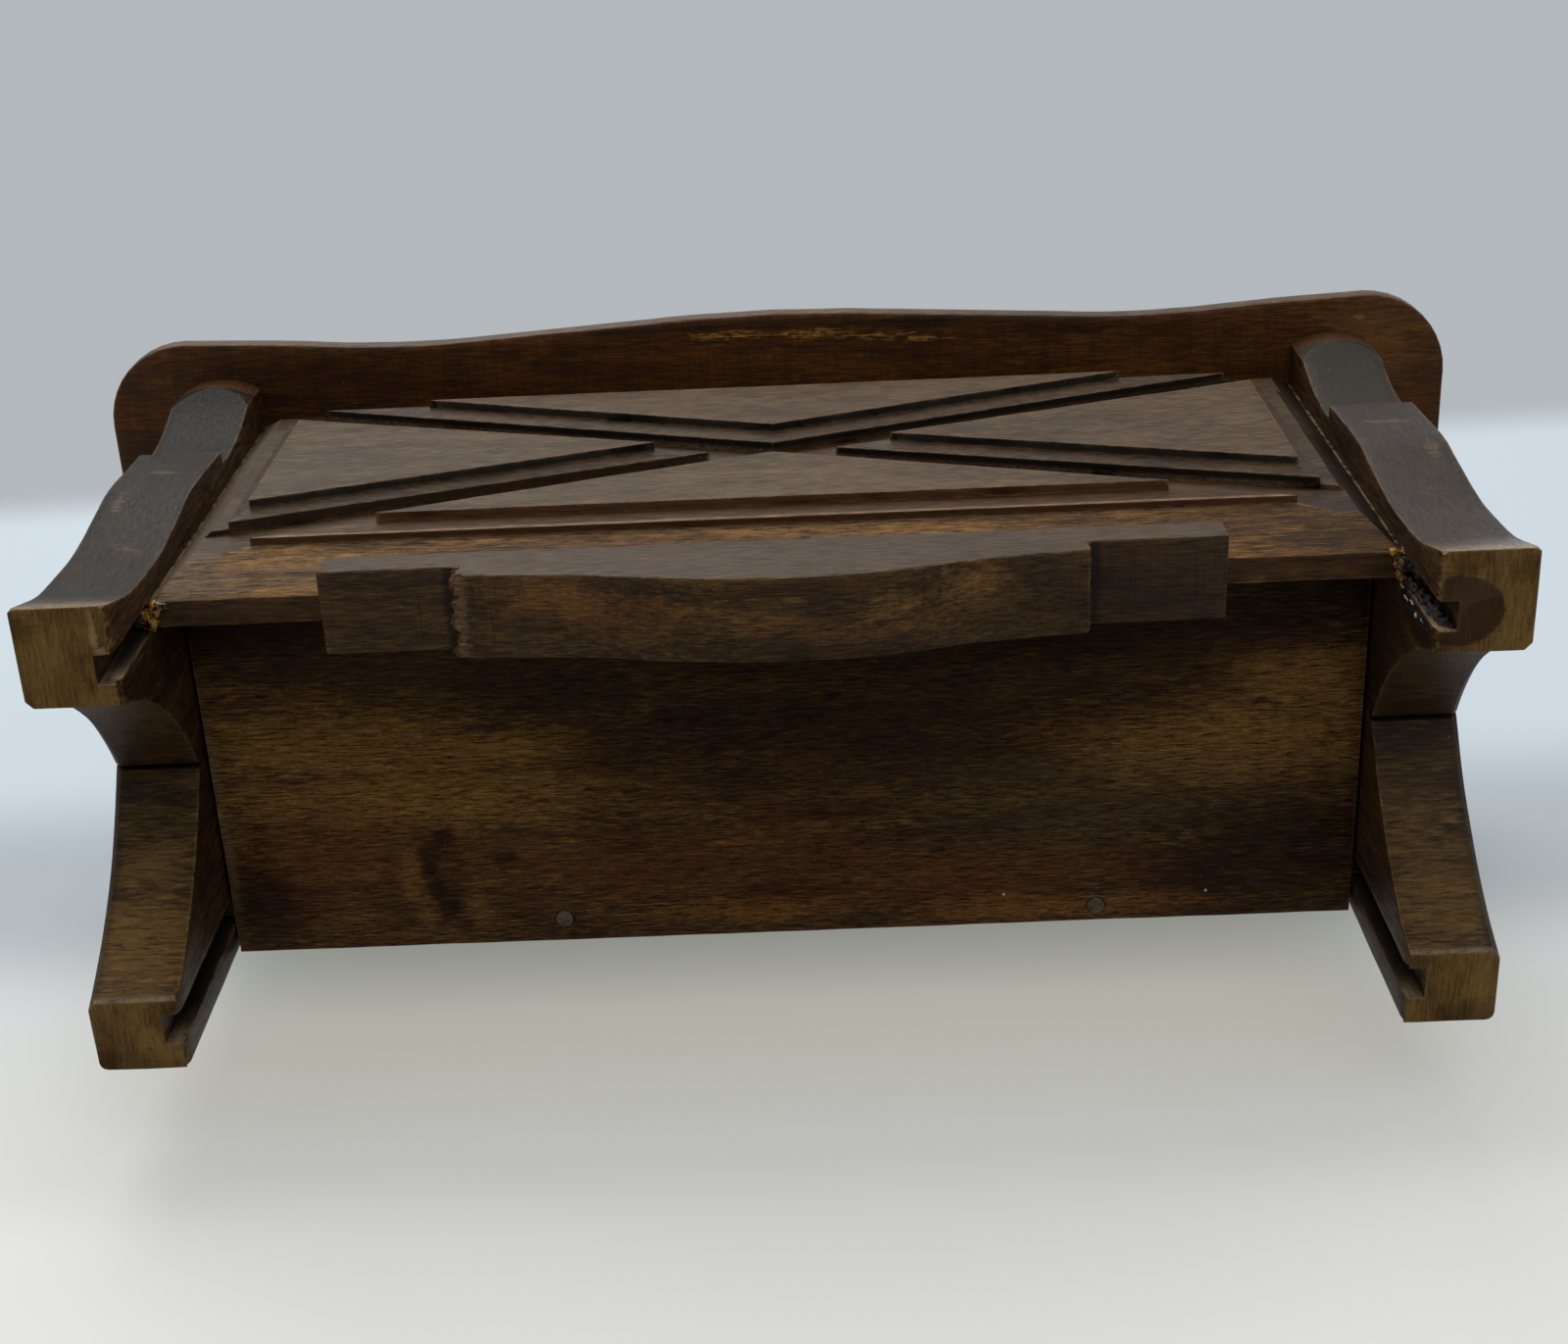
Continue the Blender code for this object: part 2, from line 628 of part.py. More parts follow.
def panel_board():
    """Board with a tongue at each end and a bevelled field raised on its front."""
    front = forward(PANEL_BACK_FORWARD + PANEL_EDGE_THICKNESS)
    mesh = box(
        (-TONGUE_X, front, PANEL_BOTTOM),
        (TONGUE_X, forward(PANEL_BACK_FORWARD), CASE_HEIGHT),
    )
    shape = bmesh.new()
    shape.from_mesh(mesh)
    bpy.data.meshes.remove(mesh)
    for x in (-PANEL_HALF_WIDTH, PANEL_HALF_WIDTH):
        everything = list(shape.verts) + list(shape.edges) + list(shape.faces)
        bmesh.ops.bisect_plane(shape, geom=everything, plane_co=(x, 0.0, 0.0), plane_no=(1.0, 0.0, 0.0))
    faces = [face for face in shape.faces if abs(face.calc_center_median().x) < FIT_GAP]
    middle = min(faces, key=lambda face: face.calc_center_median().y)
    bmesh.ops.inset_individual(shape, faces=[middle], thickness=END_BEVEL_WIDTH, depth=FIELD_RISE)
    for vert in middle.verts:
        side = math.copysign(FIELD_HALF_HEIGHT, vert.co.z - PANEL_CENTRE_Z)
        vert.co.z = PANEL_CENTRE_Z + side
    return mesh_of(shape)


def add_front_panel():
    piece = add_piece("front_panel", panel_board(), WALNUT_GRAY, 0.5)
    change(piece, channel_cutter(), "DIFFERENCE")
    change(piece, carving(), "UNION")
    housing = box(
        (-INNER_X, forward(PANEL_BACK_FORWARD + BOARD_HOUSING), BOARD_UNDERSIDE - FIT_GAP),
        (INNER_X, forward(PANEL_BACK_FORWARD - CUT_OVERRUN), BOARD_TOP + FIT_GAP),
    )
    change(piece, housing, "DIFFERENCE")


def add_apron():
    low = -forward(APRON_FRONT_FORWARD - APRON_THICKNESS)
    high = -forward(APRON_FRONT_FORWARD)
    add_piece("apron", slab(apron_outline(), low, high, FACING_REAR), WALNUT, 0.6)


# Screws

def screw_profile(head_radius, shank_radius, length, gap):
    """Countersunk screw, or with a gap the hole that it sits in, from the head down."""
    neck = SCREW_HEAD_LIP + head_radius - shank_radius
    head = head_radius + gap
    shank = shank_radius + gap
    top = CUT_OVERRUN if gap else 0.0
    tip = neck + (length - neck) * 0.8
    profile = [(0.0, top), (head, top)]
    profile += [(head, -SCREW_HEAD_LIP), (shank, -neck)]
    if gap:
        profile += [(shank, -length - gap), (0.0, -length - gap)]
    else:
        profile += [(shank, -tip), (0.0, -length)]
    return profile


def board_screw(gap):
    return turned(screw_profile(
        BOARD_SCREW_HEAD_RADIUS, BOARD_SCREW_SHANK_RADIUS, BOARD_SCREW_LENGTH, gap,
    ))


def case_screw(gap):
    return turned(screw_profile(
        LEAF_SCREW_HEAD_RADIUS, LEAF_SCREW_SHANK_RADIUS, CASE_SCREW_LENGTH, gap,
    ))


def lid_screw(gap):
    return turned(screw_profile(
        LEAF_SCREW_HEAD_RADIUS, LEAF_SCREW_SHANK_RADIUS, LID_SCREW_LENGTH, gap,
    ))


def board_screw_places():
    """Places of the bottom board's screws, which are driven upwards."""
    turn = Matrix.Rotation(math.pi, 4, "X")
    left = Matrix.Translation((LEFT_SCREW_X, forward(LEFT_SCREW_FORWARD), BOARD_UNDERSIDE))
    right = Matrix.Translation((RIGHT_SCREW_X, forward(RIGHT_SCREW_FORWARD), BOARD_UNDERSIDE))
    return {"left": left @ turn, "right": right @ turn}


def leaf_screw_places(z, turn):
    """Places of the four screws that hold both hinges to the case or to the lid."""
    places = {}
    for side, hinge in (("left", -1), ("right", 1)):
        for number, end in ((1, -1), (2, 1)):
            x = hinge * HINGE_CENTRE_X + end * LEAF_SCREW_SPACING / 2
            place = Matrix.Translation((x, forward(LEAF_DEPTH / 2), z))
            places[side + "_" + str(number)] = place @ turn
    return places


def case_screw_places():
    return leaf_screw_places(CASE_HEIGHT, Matrix.Identity(4))


def lid_screw_places():
    return leaf_screw_places(LID_UNDERSIDE, Matrix.Rotation(math.pi, 4, "X"))


def holes(make_screw, places):
    """Holes for one kind of screw at all its places."""
    return group([moved(make_screw(FIT_GAP), place) for place in places.values()])


# Bottom board and back panel

def add_bottom_board():
    mesh = box(
        (-BOARD_HALF_WIDTH, forward(PANEL_BACK_FORWARD + BOARD_HOUSING - FIT_GAP), BOARD_UNDERSIDE),
        (BOARD_HALF_WIDTH, REAR_Y, BOARD_TOP),
    )
    piece = add_piece("bottom_board", mesh, WALNUT_DARK, 0.7)
    change(piece, holes(board_screw, board_screw_places()), "DIFFERENCE")


def back_outline():
    """Plan of the back panel, with a tongue at each end."""
    front = forward(BACK_THICKNESS)
    tongue_back = forward(REAR_GROOVE_BACK + FIT_GAP)
    half = [
        Vector((TONGUE_X, front)),
        Vector((TONGUE_X, tongue_back)),
        Vector((PANEL_HALF_WIDTH, tongue_back)),
        Vector((PANEL_HALF_WIDTH, REAR_Y)),
    ]
    other = [Vector((-point.x, point.y)) for point in reversed(half)]
    return half + other


def leaf_recess(low, high):
    """Seats of both hinges' leaves, open at the rear."""
    half = HINGE_LENGTH / 2 + FIT_GAP
    seats = []
    for hinge in (-1, 1):
        x = hinge * HINGE_CENTRE_X
        seats.append(box(
            (x - half, forward(LEAF_DEPTH + FIT_GAP), low),
            (x + half, REAR_Y + CUT_OVERRUN, high),
        ))
    return group(seats)


def add_back_panel():
    mesh = slab(back_outline(), BOARD_TOP + FIT_GAP, CASE_HEIGHT)
    piece = add_piece("back_panel", mesh, WALNUT, 0.6)
    seat = CASE_HEIGHT - LEAF_THICKNESS - FIT_GAP
    change(piece, leaf_recess(seat, CASE_HEIGHT + CUT_OVERRUN), "DIFFERENCE")
    change(piece, holes(case_screw, case_screw_places()), "DIFFERENCE")
    change(piece, holes(board_screw, board_screw_places()), "DIFFERENCE")


# Lid

def add_lid():
    mesh = slab(lid_outline(), LID_UNDERSIDE, LID_UNDERSIDE + LID_THICKNESS)
    hinge_axis = (0.0, HINGE_AXIS_Y, HINGE_AXIS_Z)
    piece = add_piece("lid", mesh, WALNUT, 0.5, origin=hinge_axis)
    round_edges(piece, LID_EDGE_ROUND)
    seat = LID_UNDERSIDE + LEAF_THICKNESS + FIT_GAP
    change(piece, leaf_recess(LID_UNDERSIDE - CUT_OVERRUN, seat), "DIFFERENCE")
    change(piece, holes(lid_screw, lid_screw_places()), "DIFFERENCE")


# Hinges

def knuckle_span(index):
    """Start and end of one knuckle, counted from the hinge's left end."""
    length = (HINGE_LENGTH - (KNUCKLE_COUNT - 1) * FIT_GAP) / KNUCKLE_COUNT
    start = -HINGE_LENGTH / 2 + index * (length + FIT_GAP)
    return start, start + length


def add_leaf(name, x, low, knuckles, screws, on_lid):
    """Leaf of a hinge: a plate, its knuckles, the pin's bore and the screw holes."""
    high = low + LEAF_THICKNESS
    half = HINGE_LENGTH / 2
    plate = box((x - half, forward(LEAF_DEPTH), low), (x + half, REAR_Y, high))
    origin = (x, HINGE_AXIS_Y, HINGE_AXIS_Z) if on_lid else (0.0, 0.0, 0.0)
    piece = add_piece(name, plate, BRASS, 0.35, 1.0, origin=origin)
    for index in knuckles:
        start, end = knuckle_span(index)
        tab = box((x + start, REAR_Y - LEAF_THICKNESS, low), (x + end, HINGE_AXIS_Y, high))
        change(piece, tab, "UNION")
        change(piece, rod(KNUCKLE_RADIUS, x + start, x + end, HINGE_AXIS_Y, HINGE_AXIS_Z), "UNION")
    bore = rod(
        PIN_RADIUS + FIT_GAP, x - half - CUT_OVERRUN, x + half + CUT_OVERRUN,
        HINGE_AXIS_Y, HINGE_AXIS_Z,
    )
    change(piece, bore, "DIFFERENCE")
    change(piece, screws, "DIFFERENCE")


def add_hinge(side, x):
    outer_knuckles = range(0, KNUCKLE_COUNT, 2)
    inner_knuckles = range(1, KNUCKLE_COUNT, 2)
    case_low = CASE_HEIGHT - LEAF_THICKNESS
    case_holes = holes(case_screw, case_screw_places())
    lid_holes = holes(lid_screw, lid_screw_places())
    add_leaf("hinge_leaf_case_" + side, x, case_low, outer_knuckles, case_holes, False)
    add_leaf("hinge_leaf_lid_" + side, x, LID_UNDERSIDE, inner_knuckles, lid_holes, True)
    half = HINGE_LENGTH / 2
    pin = smooth(rod(PIN_RADIUS, x - half, x + half, HINGE_AXIS_Y, HINGE_AXIS_Z))
    add_piece("hinge_pin_" + side, pin, BRASS, 0.3, 1.0)


def add_screws():
    case_origin = (0.0, 0.0, 0.0)
    lid_origin = (0.0, HINGE_AXIS_Y, HINGE_AXIS_Z)
    for name, make_screw, places, color, origin in (
        ("bottom_screw_", board_screw, board_screw_places(), STEEL, case_origin),
        ("hinge_screw_case_", case_screw, case_screw_places(), BRASS, case_origin),
        ("hinge_screw_lid_", lid_screw, lid_screw_places(), BRASS, lid_origin),
    ):
        for end, place in places.items():
            mesh = smooth(moved(make_screw(0.0), place))
            add_piece(name + end, mesh, color, 0.4, 1.0, origin=origin)


# Lining

def add_lining_piece(name, low, high, origin=(0.0, 0.0, 0.0)):
    piece = add_piece(name, box(low, high), VELVET, 0.95, origin=origin)
    round_edges(piece, LINING_ROUND, 1)


def add_lining():
    """Velvet-covered cards on the floor, the four walls and the lid."""
    reach = INNER_X - FIT_GAP
    front = forward(ROOM_FRONT)
    back = forward(ROOM_BACK)
    low = FLOOR_TOP + FIT_GAP
    high = LINING_TOP
    add_lining_piece(
        "lining_floor", (-reach, front, BOARD_TOP + FIT_GAP), (reach, back, FLOOR_TOP),
    )
    add_lining_piece("lining_front", (-reach, front, low), (reach, front + LINING_THICKNESS, high))
    add_lining_piece("lining_back", (-reach, back - LINING_THICKNESS, low), (reach, back, high))
    inner_front = front + LINING_THICKNESS + FIT_GAP
    inner_back = back - LINING_THICKNESS - FIT_GAP
    for side, name in ((-1, "lining_left"), (1, "lining_right")):
        faces = sorted((side * reach, side * (reach - LINING_THICKNESS)))
        add_lining_piece(name, (faces[0], inner_front, low), (faces[1], inner_back, high))
    edge = reach - LINING_THICKNESS - LID_LINING_MARGIN
    top = LID_UNDERSIDE - FIT_GAP
    add_lining_piece(
        "lining_lid",
        (-edge, inner_front + LID_LINING_MARGIN, top - LID_LINING_THICKNESS),
        (edge, inner_back - LID_LINING_MARGIN, top),
        origin=(0.0, HINGE_AXIS_Y, HINGE_AXIS_Z),
    )


def build():
    clear_scene()
    new_collection("jewelry_box")
    new_collection("cutters")
    add_side("side_left", True)
    add_side("side_right", False)
    add_front_panel()
    add_apron()
    add_bottom_board()
    add_back_panel()
    add_lid()
    add_hinge("left", -HINGE_CENTRE_X)
    add_hinge("right", HINGE_CENTRE_X)
    add_screws()
    add_lining()


build()
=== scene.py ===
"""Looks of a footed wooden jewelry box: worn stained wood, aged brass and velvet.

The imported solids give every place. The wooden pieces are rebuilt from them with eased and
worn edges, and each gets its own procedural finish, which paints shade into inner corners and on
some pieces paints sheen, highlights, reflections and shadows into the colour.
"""
import math

import bmesh
import bpy
from bpy.props import FloatProperty, FloatVectorProperty, PointerProperty
from mathutils import Matrix, Vector, noise


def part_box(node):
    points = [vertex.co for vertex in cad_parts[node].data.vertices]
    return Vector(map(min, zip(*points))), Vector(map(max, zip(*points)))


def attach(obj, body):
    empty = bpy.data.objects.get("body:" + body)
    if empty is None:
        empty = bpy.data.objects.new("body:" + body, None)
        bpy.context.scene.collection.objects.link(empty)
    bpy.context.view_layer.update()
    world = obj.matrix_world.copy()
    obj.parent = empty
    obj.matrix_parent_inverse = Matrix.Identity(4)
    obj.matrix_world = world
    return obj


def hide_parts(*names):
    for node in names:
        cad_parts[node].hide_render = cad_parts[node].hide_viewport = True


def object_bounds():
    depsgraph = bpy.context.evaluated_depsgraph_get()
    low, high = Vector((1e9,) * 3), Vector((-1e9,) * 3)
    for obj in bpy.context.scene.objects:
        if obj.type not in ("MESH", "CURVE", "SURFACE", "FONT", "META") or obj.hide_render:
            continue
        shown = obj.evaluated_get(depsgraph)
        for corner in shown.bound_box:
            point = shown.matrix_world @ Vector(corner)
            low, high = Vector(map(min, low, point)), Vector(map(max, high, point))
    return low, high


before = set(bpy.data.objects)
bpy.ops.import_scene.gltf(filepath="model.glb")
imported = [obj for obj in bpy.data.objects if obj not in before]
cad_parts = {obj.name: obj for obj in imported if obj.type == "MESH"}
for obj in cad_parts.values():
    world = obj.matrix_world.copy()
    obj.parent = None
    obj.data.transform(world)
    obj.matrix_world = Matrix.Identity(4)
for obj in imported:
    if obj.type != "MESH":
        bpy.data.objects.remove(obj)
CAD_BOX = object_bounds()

bl_info = {
    "name": "Wooden Jewelry Box",
    "version": (1, 0, 0),
    "blender": (4, 5, 0),
    "location": "View3D > Sidebar > Jewelry Box",
    "description": "Dresses a footed jewelry box's solids in worn wood, brass and velvet",
    "category": "Object",
}

MM = 0.001
CASE = "case"
LID = "lid"
IMAGE_WIDTH = 1600
SENSOR = 36.0
CAMERA_FOCUS_PIXELS = 2280.5
SCREW_SIDES = 48
SCREW_TURN_SEED = 11
SHANK_SHARE = 0.52

# Places that the finishes and pieces share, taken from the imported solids
REAR_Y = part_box("back_panel")[1].y
PANEL_LOW, PANEL_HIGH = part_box("front_panel")
FIELD_Y = PANEL_LOW.y + 4.6 * MM
CREST_FOOT = PANEL_LOW.z + 14.2 * MM
BOARD_LOW, BOARD_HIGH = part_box("bottom_board")
APRON_LOW, APRON_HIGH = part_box("apron")
BLOCK_UNDER = APRON_HIGH.z - 8.3 * MM
RAIL_UNDER = APRON_HIGH.z - 13.1 * MM
APRON_STEP = 64.5 * MM
SIDE_STEP = 98.0 * MM
SIDE_CROWN = 136.0 * MM
INSIDE = Vector((0.0, (PANEL_LOW.y + REAR_Y) / 2, (BOARD_HIGH.z + PANEL_HIGH.z) / 2))


def linear(red, green, blue):
    """Linear colour of a paint given as 0 to 255 on a screen."""
    return tuple((value / 255) ** 2.2 for value in (red, green, blue))


# Settings that a user would change

def paint(name, description, default):
    return FloatVectorProperty(
        name=name, description=description, subtype="COLOR", default=default, min=0.0, max=1.0,
    )


def length(name, description, default, least=0.0):
    return FloatProperty(
        name=name, description=description, default=default, min=least, unit="LENGTH",
    )


class StageSettings(bpy.types.PropertyGroup):
    wall: paint("Wall", "Colour of the plain background", linear(178, 183, 188))
    floor: paint("Floor", "Colour of the pale floor", (0.81, 0.81, 0.785))
    sky: FloatProperty(
        name="Surrounding light", description="Strength of the even light from all around",
        default=0.55, min=0.0,
    )
    key_power: FloatProperty(
        name="Key light", description="Power of the large lamp in front of the box",
        default=10.0, min=0.0, unit="POWER",
    )
    back_gap: length("Backdrop gap", "Room between box and backdrop for the open lid", 22.0 * MM)


class WoodSettings(bpy.types.PropertyGroup):
    worn: paint("Worn wood", "Paler wood where the stain has rubbed off", linear(148, 118, 78))
    edge_round: length("Edge round", "Width of the eased edges", 0.45 * MM)
    waviness: length("Waviness", "How far a hand-worked face strays from flat", 0.10 * MM)
    grid: length("Mesh spacing", "Spacing of the cuts that let a face bend", 3.0 * MM, 0.5 * MM)


class MetalSettings(bpy.types.PropertyGroup):
    brass: paint("Brass", "Colour of the hinges", (0.56, 0.39, 0.16))
    steel: paint("Steel", "Colour of the stained bottom screws", (0.115, 0.092, 0.058))
    edge_round: length("Edge round", "Width of the hinges' eased edges", 0.12 * MM)
    slot_width: length("Slot width", "Width of a screw head's slot", 0.5 * MM)
    slot_depth: length("Slot depth", "Depth of a screw head's slot", 0.4 * MM)


class LiningSettings(bpy.types.PropertyGroup):
    velvet: paint("Velvet", "Colour of the lining", (0.105, 0.008, 0.014))
    pile: length("Pile", "Height of the velvet's waves", 0.12 * MM)
    roll: length("Rolled edge", "Width of the velvet's rolled edges", 0.6 * MM)
    crown: length("Crown", "How far the velvet falls away towards its edges", 0.5 * MM)
    crown_reach: length("Crown reach", "Width of the falling border", 9.0 * MM, 0.1 * MM)
    grid: length("Mesh spacing", "Spacing of the cuts that let velvet bend", 3.0 * MM, 0.5 * MM)


SETTINGS = {
    "box_stage": StageSettings,
    "box_wood": WoodSettings,
    "box_metal": MetalSettings,
    "box_lining": LiningSettings,
}


# Short words for node trees

class Value:
    """What a node gives, so that sums can be written with the usual signs."""

    def __init__(self, tree, socket):
        self.tree = tree
        self.socket = socket

    def __add__(self, other):
        return self.tree.math("ADD", self, other)

    def __sub__(self, other):
        return self.tree.math("SUBTRACT", self, other)

    def __rsub__(self, other):
        return self.tree.math("SUBTRACT", other, self)

    def __mul__(self, other):
        return self.tree.math("MULTIPLY", self, other)


class Tree:
    """A node tree with one short call for each kind of node that the finishes use."""

    def __init__(self, tree):
        self.tree = tree

    def node(self, kind, given=(), **settings):
        """Adds a node with its settings, then feeds its inputs, by name or in their order."""
        node = self.tree.nodes.new(kind)
        for name, value in settings.items():
            setattr(node, name, value)
        for name, value in given.items() if isinstance(given, dict) else enumerate(given):
            self.feed(node.inputs[name], value)
        return node

    def feed(self, socket, value):
        if isinstance(value, Value):
            value = value.socket
        if isinstance(value, bpy.types.NodeSocket):
            self.tree.links.new(value, socket)
        elif socket.type == "RGBA":
            socket.default_value = (*tuple(value)[:3], 1.0)
        else:
            socket.default_value = value

    def values(self, node):
        """The node's outputs by name."""
        return {socket.name: Value(self, socket) for socket in node.outputs if socket.name}

    def math(self, operation, *values, clamp=False):
        node = self.node("ShaderNodeMath", values, operation=operation, use_clamp=clamp)
        return Value(self, node.outputs[0])

    def vector_math(self, operation, *values):
        node = self.node("ShaderNodeVectorMath", values, operation=operation)
        return self.values(node)["Value" if operation in ("LENGTH", "DOT_PRODUCT") else "Vector"]

    def band(self, value, low, high):
        """Zero up to low, then a smooth rise to one at high."""
        given = {"Value": value, "From Min": low, "From Max": high}
        node = self.node("ShaderNodeMapRange", given, interpolation_type="SMOOTHSTEP")
        return Value(self, node.outputs["Result"])

    def blend(self, share, first, second, way="MIX"):
        given = {0: share, 6: first, 7: second}
        return self.node("ShaderNodeMix", given, data_type="RGBA", blend_type=way).outputs[2]

    def place(self, vector, scale=(1, 1, 1), move=(0, 0, 0), turn=(0, 0, 0)):
        given = {"Vector": vector, "Scale": scale, "Location": move, "Rotation": turn}
        return self.node("ShaderNodeMapping", given).outputs["Vector"]

    def noise(self, vector, scale, detail=3.0, roughness=0.5, bend=0.0):
        """Noise with one scale, or with one along each axis."""
        if isinstance(scale, tuple):
            vector = self.place(vector, scale)
            scale = 1.0
        node = self.node("ShaderNodeTexNoise", {
            "Vector": vector, "Scale": scale, "Detail": detail, "Roughness": roughness,
            "Distortion": bend,
        })
        return Value(self, node.outputs["Fac"])

    def split(self, vector):
        node = self.node("ShaderNodeSeparateXYZ", (vector,))
        return [Value(self, socket) for socket in node.outputs]

    def join(self, x=0.0, y=0.0, z=0.0):
        return self.node("ShaderNodeCombineXYZ", (x, y, z)).outputs[0]

    def use(self, group, **values):
        """Places a shared group, with its inputs by name, and returns its outputs."""
        given = {name.capitalize(): value for name, value in values.items()}
        return self.values(self.node("ShaderNodeGroup", given, node_tree=group))


COLOR = "NodeSocketColor"
VALUE = "NodeSocketFloat"
VECTOR = "NodeSocketVector"


def new_group(name, kind, inputs, outputs):
    """Empty group with named sockets; returns it with its tree words, inputs and outputs."""
    group = bpy.data.node_groups.new(name, kind)
    for way, entries in (("INPUT", inputs), ("OUTPUT", outputs)):
        for entry, socket_kind, *default in entries:
            socket = group.interface.new_socket(entry, in_out=way, socket_type=socket_kind)
            if default:
                socket.default_value = default[0]
    tree = Tree(group)
    given = tree.values(tree.node("NodeGroupInput"))
    return group, tree, given, tree.node("NodeGroupOutput").inputs


def grain_group():
    """Wood grain along X: mottled stain for the colour, then dashes and streaks as its shading."""
    group, tree, given, result = new_group(
        "wood_grain", "ShaderNodeTree",
        [
            ("Vector", VECTOR), ("Stain", COLOR), ("Body", COLOR), ("Glow", COLOR),
            ("Figure", VALUE, 1.0), ("Warmth", VALUE, 0.5), ("Dashes", VALUE, 1.0),
        ],
        [("Color", COLOR), ("Shading", COLOR), ("Height", VALUE), ("Roughness", VALUE)],
    )

    def cloud(scale, move, detail, roughness, bend=0.0):
        place = tree.place(given["Vector"], scale, move)
        return tree.noise(place, 1.0, detail, roughness, bend) - 0.5

    still = (0, 0, 0)
    broad = cloud((9, 38, 38), still, 6.0, 0.72, 0.35)
    middle = cloud((52, 210, 210), (3.1, 1.7, 0.4), 4.0, 0.68)
    warm = cloud((16, 80, 80), (5.2, 2.6, 7.1), 5.0, 0.72, 0.2)
    streak = cloud((30, 620, 620), still, 4.0, 0.70, 0.25)
    dash = cloud((210, 2000, 2000), still, 3.0, 0.66)
    fleck = cloud((900, 2600, 2600), still, 2.0, 0.6)
    pore = tree.band(cloud((180, 2300, 2300), (8.3, 4.4, 2.9), 2.0, 0.55), 0.06, 0.12)
    spark = tree.band(cloud((260, 2000, 2000), (1.3, 9.4, 6.9), 2.0, 0.55), 0.09, 0.16)
    share = broad * given["Figure"] + middle * 1.1 + dash * 0.5 + 0.5
    color = tree.blend(tree.band(share, 0.28, 0.72), given["Stain"], given["Body"])
    glowing = tree.band(dash * 0.6 + warm, -0.02, 0.16) * given["Warmth"]
    tree.feed(result["Color"], tree.blend(glowing, color, given["Glow"]))
    fine = fleck * 1.3 + dash * 2.8 + streak * 1.3 - pore * 0.55 + spark * 0.50
    gain = tree.math("MAXIMUM", fine * given["Dashes"] + 1.0, 0.16)
    tint = tree.blend(tree.band(dash, -0.10, 0.10), (0.95, 0.88, 1.0), (1.06, 1.0, 0.86))
    shading = tree.node("ShaderNodeVectorMath", {"Vector": tint, "Scale": gain}, operation="SCALE")
    tree.feed(result["Shading"], shading.outputs["Vector"])
    tree.feed(result["Height"], dash * 1.2 - pore * 0.35 + streak)
    tree.feed(result["Roughness"], dash * -0.4)
    return group


def edge_group():
    """Masks of the rubbed outer edges and of the inner corners, where shade is painted in."""
    group, tree, given, result = new_group(
        "edge_wear_and_corner_shade", "ShaderNodeTree",
        [("Vector", VECTOR), ("Radius", VALUE, 0.9 * MM), ("Breaks", VALUE, 0.5)],
        [("Edge", VALUE), ("Corner", VALUE)],
    )
    rounded = tree.node("ShaderNodeBevel", {"Radius": given["Radius"]}, samples=6)
    face = tree.node("ShaderNodeNewGeometry").outputs["True Normal"]
    turn = tree.vector_math("DOT_PRODUCT", rounded.outputs["Normal"], face)
    hollow = tree.node(
        "ShaderNodeAmbientOcclusion", {"Distance": 3.0 * MM}, samples=6, only_local=True,
    )
    open_air = hollow.outputs["AO"]
    breaks = tree.noise(given["Vector"], 240.0, 4.0, 0.65)
    rubbed = tree.band(breaks - given["Breaks"], -0.16, 0.10)
    edge = tree.band(turn, 0.995, 0.90) * tree.band(open_air, 0.55, 0.80)
    tree.feed(result["Edge"], edge * rubbed)
    tree.feed(result["Corner"], 1.0 - tree.band(open_air, 0.35, 0.95))
    return group


def patch_group():
    """Mask of one soft-edged stain or worn place, round a centre and with its own reach."""
    group, tree, given, result = new_group(
        "patch", "ShaderNodeTree",
        [
            ("Vector", VECTOR), ("Centre", VECTOR), ("Reach", VECTOR, (1.0, 1.0, 1.0)),
            ("Rough", VALUE, 0.0),
        ],
        [("Mask", VALUE)],
    )
    away = tree.vector_math("SUBTRACT", given["Vector"], given["Centre"])
    distance = tree.vector_math("LENGTH", tree.vector_math("DIVIDE", away, given["Reach"]))
    tree.feed(result["Mask"], tree.band(distance + given["Rough"], 1.25, 0.45))
    return group


def dust_group():
    """Scattered specks of dust."""
    group, tree, given, result = new_group(
        "dust", "ShaderNodeTree", [("Vector", VECTOR), ("Amount", VALUE, 0.3)], [("Mask", VALUE)],
    )
    specks = tree.node(
        "ShaderNodeTexVoronoi", {"Vector": given["Vector"], "Scale": 420.0}, feature="F1",
    )
    near = tree.math("LESS_THAN", specks.outputs["Distance"], 0.085)
    chosen = tree.math("GREATER_THAN", tree.split(specks.outputs["Color"])[0], 0.93)
    tree.feed(result["Mask"], near * chosen * given["Amount"])
    return group


GROUPS = {}


def build_groups():
    for make in (grain_group, edge_group, patch_group, dust_group):
        GROUPS[make] = make()


# Materials

ALONG_X = (0.0, 0.0, 0.0)
ALONG_Z = (0.0, math.pi / 2, 0.0)


